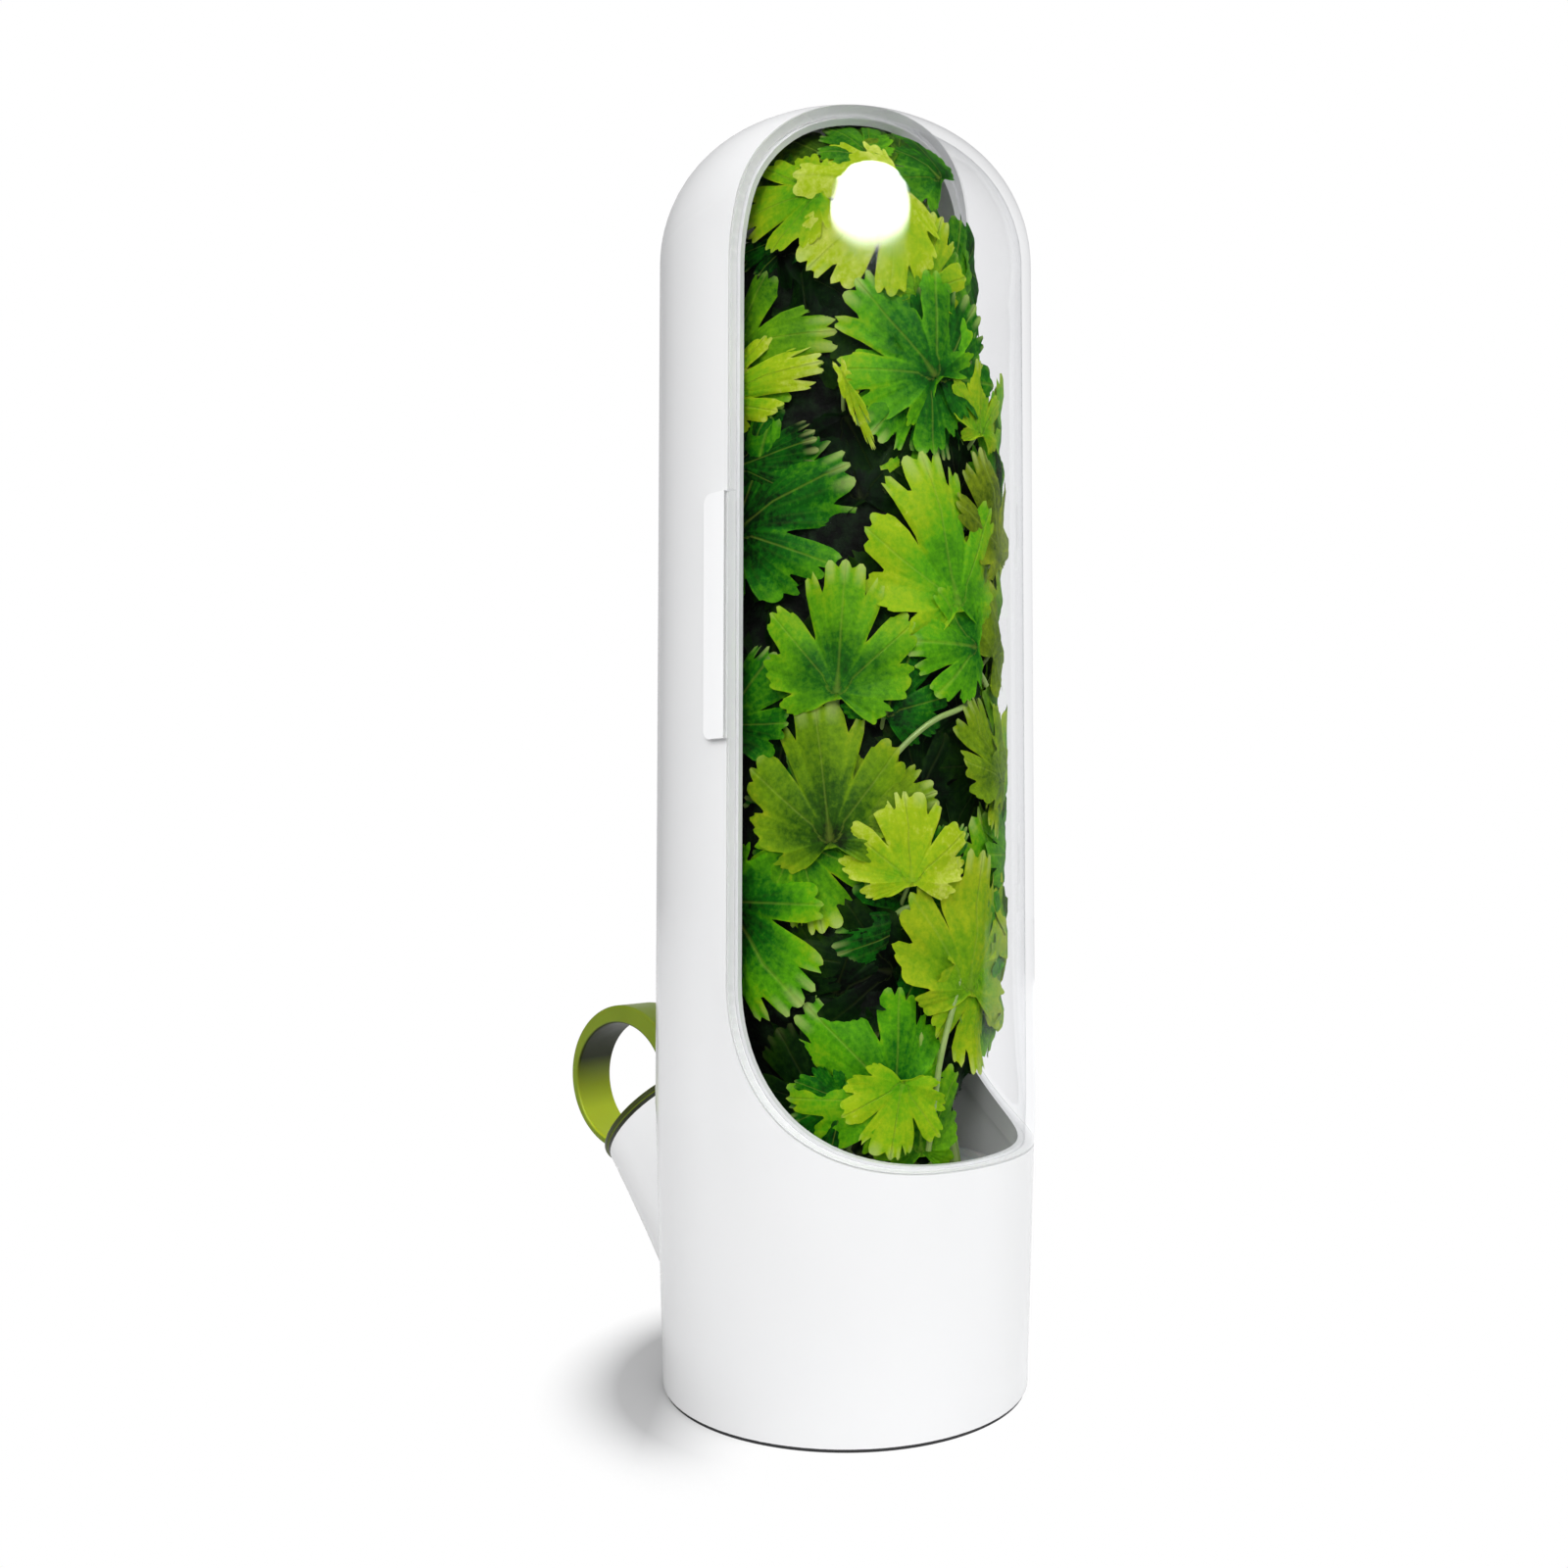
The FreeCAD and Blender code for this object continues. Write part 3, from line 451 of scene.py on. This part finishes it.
def leaf_finish(name, dimming):
    """Leaf skin: veins run to the teeth, mottling, and tone for youth and painted shade."""
    skin = Finish(name, (0.1, 0.3, 0.01), 0.5, Specular_IOR_Level=0.06)
    tone = skin.place.node("Attribute", output="Fac", attribute_name="tone")
    warm = skin.place.node("Attribute", output="Fac", attribute_name="warm")
    out = skin.flat.part("Y")
    bearing = (skin.flat.part("X") - 0.5) * (2 * math.pi)
    toward_notch = ((bearing / TOOTH_TURN + 0.5).math("FRACT") - 0.5).math("ABSOLUTE") * 2
    middle_line = bearing.math("ABSOLUTE")
    side_line = (middle_line - SIDE_LOBE).math("ABSOLUTE")
    main_vein = (1 - middle_line.math("MINIMUM", side_line) * out * 60).math("MAXIMUM", 0.0)
    small_vein = (1 - toward_notch * out * 5).math("MAXIMUM", 0.0) * out.between(0.15, 0.5)
    mottle = skin.speckle(800.0, 5.0, 0.7)
    patches = skin.speckle(120.0, 3.0, 0.55)
    # painted shade: patches and folds darken the blade in broad clouds, as shade in folds and
    # overlaps would
    painted_fold_shade = skin.speckle(55.0, 1.0, 0.5)
    ribs = (0.45 - toward_notch) * out.between(0.1, 0.6) * patches.between(0.4, 0.6) * 0.06
    mottle_and_painted_shade = (patches - 0.5) * 0.55 + (painted_fold_shade - 0.5) * 0.55 + (mottle - 0.5) * 0.75
    shade = (tone + ribs + mottle_and_painted_shade) * 0.8 - 0.045
    fresh = shade.node("ValToRGB", {0: shade}, stops=GREEN_STOPS)
    olive = shade.node("ValToRGB", {0: shade}, stops=OLIVE_STOPS)
    veined = (main_vein * 0.24 + small_vein * 0.035).blend(warm.blend(fresh, olive), VEIN_GREEN)
    tooth_tip = out.between(0.80, 0.97) * (1 - toward_notch).between(0.2, 0.7)
    tipped = (tooth_tip * 0.55).blend(veined, TOOTH_TIP)
    lit = tipped.node("VectorMath", {0: tipped, "Scale": dimming}, operation="SCALE")
    skin.give(Base_Color=lit, Roughness=mottle.spread(0.42, 0.67))
    skin.relief(mottle * 0.5 - main_vein * 0.7 - small_vein * 0.12, LEAF_SKIN_DEPTH, 0.85)
    light_through = skin.place.node("BsdfTranslucent", {"Color": lit})
    skin.show(skin.plain.cover(0.2, light_through))
    return skin


fresh_green = leaf_finish("fresh_leaf", 0.93)
# painted shade: the inner leaves wear the leaf skin dimmed to a tenth
leaf_painted_shade = leaf_finish("leaf_in_painted_shade", 0.10)

# angle round the pod and height of the stalk's end; length; turn of the tip; tone at the stalk and
# at the tip; warmth; depth behind the door; spread
OUTER_LEAVES = [
    ((213, 252), 19, 52, (0.20, 0.45), 0.65, 2.4, 1.1),
    ((224, 254), 12, 40, (0.30, 0.55), 0.1, 1.6, 1.0),
    ((236, 257), 14, 30, (0.25, 0.45), 0.5, 2.8, 1.2),
    ((190, 249), 14, 30, (0.15, 0.40), 0.4, 3.2, 1.0),
    ((207, 245), 18, 94, (0.50, 0.92), 0.1, 1.0, 0.8),
    ((199, 239), 16, 92, (0.05, 0.20), 0.0, 3.6, 0.6),
    ((232, 246), 24, 130, (0.80, 1.10), 0.1, 0.4, 1.0),
    ((250, 252), 16, 55, (0.10, 0.45), 0.1, 2.0, 1.0),
    ((241, 227), 18, -18, (0.60, 0.95), 0.25, 1.8, 0.8),
    ((246, 211), 24, 46, (0.18, 0.70), 0.0, 0.6, 1.0),
    ((248, 211), 20, -30, (0.18, 0.34), 0.0, 1.2, 1.0),
    ((244, 212), 19, 138, (0.15, 0.52), 0.0, 1.6, 1.0),
    ((246, 212), 17, -165, (0.18, 0.30), 0.0, 2.4, 1.1),
    ((268, 203), 15, 0, (0.60, 0.90), 0.2, 0.8, 0.9),
    ((166, 216), 27, -84, (0.35, 0.60), 0.25, 1.6, 0.8),
    ((168, 208), 25, -80, (0.60, 0.98), 0.05, 0.8, 0.5),
    ((215, 209), 16, -157, (0.85, 1.0), 0.1, 0.3, 0.16),
    ((176, 181), 27, -66, (0.04, 0.46), 0.0, 1.2, 1.0),
    ((177, 194), 18, -80, (0.05, 0.20), 0.0, 2.2, 0.8),
    ((255, 166), 31, 14, (0.50, 0.82), 0.0, 0.5, 0.85),
    ((263, 158), 17, 92, (0.30, 0.66), 0.0, 0.1, 1.0),
    ((213, 147), 26, -4, (0.24, 0.72), 0.12, 0.5, 0.88),
    ((229, 143), 18, -24, (0.10, 0.30), 0.0, 2.0, 1.0),
    ((170, 142), 19, -46, (0.12, 0.45), 0.0, 1.8, 1.0),
    ((211, 118), 28, 6, (0.10, 0.70), 0.5, 1.0, 0.88),
    ((206, 121), 18, 70, (0.10, 0.35), 0.0, 4.2, 1.0),
    ((220, 122), 18, -70, (0.35, 0.62), 0.6, 1.6, 1.0),
    ((237, 110), 18, 0, (0.85, 1.05), 0.1, 0.3, 1.15),
    ((200, 118), 19, -164, (0.15, 0.70), 0.1, 2.4, 1.0),
    ((170, 106), 28, -138, (0.03, 0.60), 0.0, 1.4, 1.0),
    ((254, 104), 27, 112, (0.12, 0.26), 0.0, 4.2, 0.8),
    ((245, 92), 17, 150, (0.02, 0.10), 0.0, 5.2, 1.0),
    ((250, 112), 12, -40, (0.20, 0.40), 0.0, 2.4, 0.8),
    ((262, 88), 29, -8, (0.55, 0.90), 0.35, 1.0, 1.0),
    ((266, 93), 23, -176, (0.55, 0.90), 0.25, 1.5, 0.8),
    ((233, 67), 26, 44, (0.34, 0.68), 0.0, 2.2, 0.95),
    ((234, 70), 15, 166, (0.65, 0.88), 0.05, 0.2, 1.1),
    ((243, 56), 24, 4, (0.45, 0.62), 0.2, 3.6, 0.7),
    ((215, 67), 12, 118, (0.10, 0.20), 0.0, 3.0, 1.0),
    ((283, 180), 22, 24, (0.40, 0.60), 0.8, 0.2, 0.9),
    ((280, 158), 22, -32, (0.45, 0.62), 0.7, 1.6, 0.9),
    ((282, 132), 20, 40, (0.40, 0.66), 0.6, 0.3, 0.8),
    ((283, 137), 18, 176, (0.35, 0.60), 0.6, 0.5, 0.5),
]
HALF_HIDDEN_LEAVES = [
    ((204, 216), 20, -40), ((221, 186), 19, 10), ((216, 202), 17, -150), ((199, 170), 18, 20),
    ((236, 152), 17, 60), ((190, 128), 18, -10), ((232, 92), 20, 80), ((206, 66), 17, 30),
    ((228, 222), 18, 60), ((192, 236), 16, -60), ((226, 168), 18, -60), ((244, 128), 16, 20),
    ((212, 88), 18, -20), ((262, 190), 18, -30), ((262, 145), 18, 20), ((186, 150), 18, -60),
]


def scattered(count, angles, angle_step, heights, height_step):
    """Places all over a range of angles and of heights, without an order that shows."""
    for number in range(count):
        yield (angles[0] + number * angle_step % (angles[1] - angles[0]),
               heights[0] + number * height_step % (heights[1] - heights[0]))


outer_bunch = bmesh.new()
stalks = []
for where, length, turn, tones, warmth, depth, spread in OUTER_LEAVES:
    leaf_blade(outer_bunch, where, length, turn, tones, warmth, depth, spread)
    stalks.append((where, depth))
outer_leaves = new_piece("outer_leaves", outer_bunch, fresh_green)

# the far side of the bunch, and above it a crown; the whole bunch leans toward the near side
LEAN_WAY = math.radians(195)
side_bunch = bmesh.new()
for where in scattered(30, (290, 360), 37.0, (82, 212), 5.7):
    leaf_blade(side_bunch, where, rng.uniform(18, 27), rng.uniform(-60, 60),
               (rng.uniform(0.1, 0.5), rng.uniform(0.4, 0.9)), rng.uniform(0, 0.4),
               rng.uniform(0.5, 3), segments=80)
    stalks.append((where, 2.0))
for where in scattered(22, (246, 381), 47.0, (202, 245), 8.3):
    behind_door = 8.2 - 5.5 * math.cos(math.radians(where[0]) - LEAN_WAY)
    leaf_blade(side_bunch, where, rng.uniform(16, 22), rng.uniform(-90, 90),
               (rng.uniform(0.0, 0.3), rng.uniform(0.3, 0.7)), 0.1,
               behind_door + rng.uniform(-0.6, 0.6), segments=80)
    stalks.append((where, 13.0))
side_leaves = new_piece("side_leaves", side_bunch, fresh_green)

inner_bunch = bmesh.new()
for where in scattered(64, (0, 360), 137.5, (70, 245), 2.83):
    below_crown = 6 * (where[1] > 190 and 262 < where[0] < 360)
    leaf_blade(inner_bunch, where, rng.uniform(17, 26), rng.uniform(-180, 180),
               (rng.uniform(0.0, 0.3), rng.uniform(0.2, 0.7)), 0.0,
               rng.uniform(4.5, 8.5) + below_crown, segments=60)
for where, length, turn in HALF_HIDDEN_LEAVES:
    leaf_blade(inner_bunch, where, length, turn, (0.0, 0.45), 0.0, 4.0, segments=100)
inner_leaves = new_piece("inner_leaves", inner_bunch, leaf_painted_shade)

# ---------------------------------------------------------------- leaf tangle and stems
# Behind the leaves the bunch is a tangle, one lumpy mass painted near black as painted shade. The
# stems leave it downwards, pass between the grid's spokes and stand on the basket's floor.
# painted shade: the tangle's colour is near black
TANGLE_PAINTED_DARKEST = (0.002, 0.003, 0.002)
TANGLE_PAINTED_GREENEST = (0.01, 0.03, 0.008)
tangle_painted_dark = Finish("tangle_in_painted_shade", (0.004, 0.007, 0.004), 0.8, Specular_IOR_Level=0.1)
tangle_cloud = tangle_painted_dark.speckle(260.0, 5.0, 0.65)
tangle_painted_dark.give(
    Base_Color=tangle_cloud.between(0.45, 0.75).blend(TANGLE_PAINTED_DARKEST, TANGLE_PAINTED_GREENEST))
tangle_painted_dark.relief(tangle_cloud, 2 * MM, 0.8)

grid_low, grid_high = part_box("stem_grid")
BUNCH_FOOT = grid_high.z + 1 * MM
TANGLE_FOOT = BUNCH_FOOT + 8 * MM
TANGLE_TOP = 258 * MM
TANGLE_RADIUS = 26.5
TANGLE_LEAN = 5.5
TANGLE_LUMPS = 2.0
tangle = bmesh.new()
bmesh.ops.create_uvsphere(tangle, u_segments=64, v_segments=90, radius=1.0)
for vert in tangle.verts:
    share = 0.5 - math.asin(max(-1.0, min(1.0, vert.co.z))) / math.pi
    height = TANGLE_TOP + (TANGLE_FOOT - TANGLE_TOP) * share
    about = math.atan2(vert.co.y, vert.co.x)
    swell = min(1.0, share / 0.12) ** 0.5 * min(1.0, (1 - share) / 0.15) ** 0.45
    lump = noise.noise(Vector((math.cos(about) * 2.2, math.sin(about) * 2.2, height * 60)))
    lean = TANGLE_LEAN * math.cos(about - LEAN_WAY)
    radius = (TANGLE_RADIUS + lean + TANGLE_LUMPS * lump) * MM
    radius *= swell * min(1.0, room_at(height) / ROOM)
    vert.co = (radius * math.cos(about), radius * math.sin(about), height)
leaf_tangle_painted_shade = new_piece("leaf_tangle_painted_shade", tangle, tangle_painted_dark)

STEM_DARKEST = (0.14, 0.27, 0.04)
STEM_PALEST = (0.36, 0.47, 0.14)
STEM_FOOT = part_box("herb_basket")[0].z + 2.5 * MM
stem_green = Finish("cut_stem", (0.22, 0.36, 0.06), 0.42)
stem_cloud = stem_green.speckle(220.0, 3.0)
stem_green.give(Base_Color=stem_cloud.blend(STEM_DARKEST, STEM_PALEST),
                Roughness=stem_cloud.spread(0.32, 0.52))
stem_lines = bpy.data.curves.new("stems", "CURVE")
stem_lines.dimensions = "3D"
stem_lines.bevel_depth = 1.0 * MM
stem_lines.bevel_resolution = 3
stem_lines.use_fill_caps = True


def add_stalk(points, thickness):
    """One round stalk through a few points; thickness is a radius in millimetres."""
    line = stem_lines.splines.new("NURBS")
    line.points.add(len(points) - 1)
    for point, where in zip(line.points, points):
        point.co = (*where, 1.0)
        point.radius = thickness
    line.order_u = 3
    line.use_endpoint_u = True


# thick stems in two rings round one in the middle: share of the grid's reach, how many, thickness
STEM_RINGS = ((0.0, 1, 1.7), (0.52, 6, 1.7), (0.74, 12, 1.3))
grid_reach = (grid_high.x - grid_low.x) / 2
for ring, count, thickness in STEM_RINGS:
    for number in range(count):
        about = 2 * math.pi * (number + 0.5 * (count > 6)) / count
        at = Vector((math.cos(about), math.sin(about), 0)) * grid_reach * ring
        add_stalk([Vector((at.x * 0.7, at.y * 0.7, STEM_FOOT)),
                   at + Vector((0, 0, grid_low.z - 6 * MM)),
                   at + Vector((0, 0, grid_high.z + 5 * MM)),
                   at * 0.75 + Vector((0, 0, BUNCH_FOOT + 28 * MM))], thickness)
# a thin stalk behind each outer and side leaf
STALK_ROOM = 35.4
STALK_THICKNESS = 0.45
for (angle, height), depth in stalks:
    out = Vector((math.cos(math.radians(angle)), math.sin(math.radians(angle)), 0)) * MM
    tip = out * (STALK_ROOM - depth) * (room_at(height * MM) / ROOM) + Vector((0, 0, height * MM))
    add_stalk([Vector((tip.x * 0.5, tip.y * 0.5, tip.z - 18 * MM)),
               Vector((tip.x * 0.8, tip.y * 0.8, tip.z - 8 * MM)), tip], STALK_THICKNESS)
# stalks that cross in front of the leaves: angle, height and distance from the middle of each bend
CROSSING_STALKS = [
    [(224, 128, 30), (230, 134, 35), (244, 142, 35.4), (257, 145, 35.4), (267, 147, 33)],
    [(268, 104, 32), (259, 92, 35), (248, 75, 35.4), (246, 64, 35), (245, 56, 34)],
    [(263, 157, 33), (268, 154, 35), (273, 151, 35)],
    [(231, 101, 30), (238, 107, 34), (243, 100, 34), (240, 90, 29)],
]
CROSSING_THICKNESS = 0.6
for bends in CROSSING_STALKS:
    add_stalk([Matrix.Rotation(math.radians(angle), 3, "Z") @ Vector((out * MM, 0, height * MM))
               for angle, height, out in bends], CROSSING_THICKNESS)
lines_holder = bpy.data.objects.new("stem_lines", stem_lines)
bpy.context.scene.collection.objects.link(lines_holder)
bpy.context.view_layer.update()
finished_lines = lines_holder.evaluated_get(bpy.context.evaluated_depsgraph_get())
stem_mesh = bpy.data.meshes.new_from_object(finished_lines)
bpy.data.objects.remove(lines_holder)
stem_mesh.shade_smooth()
cut_stems = bpy.data.objects.new("cut_stems", stem_mesh)
bpy.context.scene.collection.objects.link(cut_stems)
stem_green.paint(cut_stems)

# the bunch stands in the basket and moves with it; each piece gets a mesh of its own
for piece in (outer_leaves, side_leaves, inner_leaves, leaf_tangle_painted_shade, cut_stems):
    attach(piece, "basket")
    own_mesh(piece)

# ---------------------------------------------------------------- camera
# The camera stands 28 cm from the pod's axis and looks level at two fifths of its height. Its lens
# is shifted, so that the whole pod is in the frame and its sides stay upright.
VIEW_TURN = math.radians(-54.3)
CAMERA_AWAY = 0.2821
CAMERA_HEIGHT = 0.1074
toward_lens = Vector((math.sin(VIEW_TURN), -math.cos(VIEW_TURN), 0))
lens_right = Vector((math.cos(VIEW_TURN), math.sin(VIEW_TURN), 0))
camera = bpy.data.cameras.new("camera")
camera.lens = 28.91
camera.sensor_width = 36
camera.shift_x = -0.0391
camera.shift_y = 0.0704
camera.clip_start = 0.01
camera.clip_end = 50
viewer = bpy.data.objects.new("camera", camera)
viewer.location = toward_lens * CAMERA_AWAY + Vector((0, 0, CAMERA_HEIGHT))
viewer.rotation_euler = (math.pi / 2, 0, VIEW_TURN)
bpy.context.scene.collection.objects.link(viewer)
bpy.context.scene.camera = viewer
bpy.context.scene.view_settings.view_transform = "Standard"

# ---------------------------------------------------------------- table
# The pod stands on a white sweep of paper. The lens sees plain white there, apart from the soft
# shadow beside the spout, which is cast and also painted grey into the paper, and the pod mirrors
# a dark floor in front of it.
TABLE_RADIUS = 6.0
PAPER_DULLEST = (0.90, 0.90, 0.90)
PAPER_CLEAREST = (0.92, 0.92, 0.92)
# painted shadow in the paper's colour
PAINTED_SHADOW_GREY = (0.2, 0.2, 0.2)
PAINTED_SHADOW_STRENGTH = 0.55
WHITE = (1.0, 1.0, 1.0)
table_white = Finish("white_table", (0.9, 0.9, 0.9), 0.6)
from_pod = table_white.place.node("VectorMath", {0: table_white.place}, "Value", operation="LENGTH")
spout_side = dot(table_white.place, -lens_right).between(0.015, 0.04)
# beside the spout the lens sees the cast shadow, and the paper's colour there is darkened as
# painted shadow
shadow = spout_side * (1 - from_pod.between(0.05, 0.068))
paper_tone = table_white.speckle(40.0).blend(PAPER_DULLEST, PAPER_CLEAREST)
table_white.give(Base_Color=(shadow * PAINTED_SHADOW_STRENGTH).blend(paper_tone, PAINTED_SHADOW_GREY))


def seen_as(strength):
    """The paper at one plain brightness, for one kind of ray."""
    return table_white.place.node("Emission", {"Color": WHITE, "Strength": strength})


from_lens = table_white.place.node("LightPath", output="Is Camera Ray")
from_side = table_white.place.node("LightPath", output="Is Diffuse Ray")
from_gloss = table_white.place.node("LightPath", output="Is Glossy Ray")
in_front = dot(table_white.place, toward_lens).between(0.03, 0.12)
sweep = table_white.plain.cover(from_lens * (1 - shadow), seen_as(1.0))
sweep = sweep.cover(from_side * 0.45, seen_as(0.0))
table_white.show(sweep.cover(from_gloss * in_front, seen_as(0.01)))
table = bmesh.new()
bmesh.ops.create_circle(table, cap_ends=True, segments=96, radius=TABLE_RADIUS)
new_piece("table", table, table_white)

# ---------------------------------------------------------------- room
# The room is white all round for the lens and through the clear door. For light it is brighter in
# front, and in the mirror of the gloss only the wall behind the pod is white.
world = bpy.data.worlds.new("white_surround")
bpy.context.scene.world = world
world.use_nodes = True
surround = Shade(world.node_tree, world.node_tree.nodes["Background"].outputs[0])


def wall(colour, strength):
    """The room's wall as one kind of ray sees it."""
    return surround.node("Background", {"Color": colour, "Strength": strength})


way = surround.node("TexCoord", output="Generated")
plain = surround.node("LightPath", output="Is Camera Ray").math(
    "MAXIMUM", surround.node("LightPath", output="Is Transmission Ray"))
mirrored = surround.node("LightPath", output="Is Glossy Ray")
wall_behind = dot(way, -toward_lens).between(0.1, 0.45)
wall_behind = wall_behind * dot(way, lens_right).between(-0.55, -0.2).spread(0.2, 1.0)
wall_behind = wall_behind * (1 - dot(way, (0, 0, 1)).between(0.3, 0.7) * 0.6)
brightest_way = toward_lens * 0.55 + lens_right * 0.45 + Vector((0, 0, 0.45))
brightness = dot(way, brightest_way.normalized()) * 0.52 + 0.65
lighting_wall = wall((0.98, 0.985, 1.0), brightness)
mirror_wall = wall((0.98, 0.98, 1.0), wall_behind.spread(0.012, 0.762))
walls = lighting_wall.cover(mirrored, mirror_wall).cover(plain, wall(WHITE, 1.0))
world.node_tree.links.new(walls.socket, world.node_tree.nodes["World Output"].inputs["Surface"])

# ---------------------------------------------------------------- soft lights
# Three square soft lights: a strong one in front, a weaker one on the right, and one behind that
# keeps the pod's back from going grey.
POD_MIDDLE = Vector((0, 0, 0.13))


def soft_light(name, way, height, distance, size, watts):
    """A square soft light that looks at the middle of the pod and isn't mirrored by it."""
    lamp = bpy.data.lights.new(name, "AREA")
    lamp.size = size
    lamp.energy = watts
    stand = bpy.data.objects.new(name, lamp)
    stand.location = POD_MIDDLE + way.normalized() * distance + Vector((0, 0, height))
    stand.rotation_euler = (POD_MIDDLE - stand.location).to_track_quat("-Z", "Y").to_euler()
    stand.visible_glossy = False
    bpy.context.scene.collection.objects.link(stand)


soft_light("right_light", lens_right + toward_lens * 0.25, 0.6, 1.0, 0.7, 3.2)
soft_light("front_light", toward_lens - lens_right * 0.25, 0.45, 1.1, 0.6, 6.7)
soft_light("back_light", lens_right * 0.15 - toward_lens, 0.4, 1.2, 0.7, 3.4)

# ---------------------------------------------------------------- round lamp
# A round lamp beside the camera shows only as its mirror image in the door's dome. Its card is cut
# to shape by mirroring a circle, given in the picture's own pixels, outwards from the dome.
PICTURE = 1600
GLEAM_X = 888
GLEAM_Y = 201
GLEAM_WIDE = 41
GLEAM_TALL = 37
DOME_START = 0.245
DOME_CORE = 0.0167
CARD_AWAY = 0.6
lamp_finish = Finish("lamp_card", WHITE, 0.5,
                     Emission_Color=(1.0, 1.0, 1.0, 1.0), Emission_Strength=26.0)
lamp_card = bmesh.new()
bmesh.ops.create_circle(lamp_card, cap_ends=True, cap_tris=True, segments=48, radius=1.0)
bpy.context.view_layer.update()
door_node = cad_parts["window_door"]
to_door = door_node.matrix_world.inverted()
for vert in lamp_card.verts:
    across = (GLEAM_X + GLEAM_WIDE * vert.co.x) / PICTURE - 0.5 + camera.shift_x
    upward = 0.5 - (GLEAM_Y + GLEAM_TALL * vert.co.y) / PICTURE + camera.shift_y
    sight = (lens_right * across * camera.sensor_width - toward_lens * camera.lens
             + Vector((0, 0, upward * camera.sensor_width))).normalized()
    spot = door_node.ray_cast(to_door @ viewer.location, to_door.to_3x3() @ sight)[1]
    spot = door_node.matrix_world @ spot
    about = math.atan2(spot.y, spot.x)
    core = Vector((math.cos(about) * DOME_CORE, math.sin(about) * DOME_CORE,
                   min(spot.z, DOME_START)))
    vert.co = spot + sight.reflect((spot - core).normalized()) * CARD_AWAY
card = new_piece("lamp_card", lamp_card, lamp_finish)
for ray_kind in ("camera", "diffuse", "transmission", "shadow", "volume_scatter"):
    setattr(card, "visible_" + ray_kind, False)
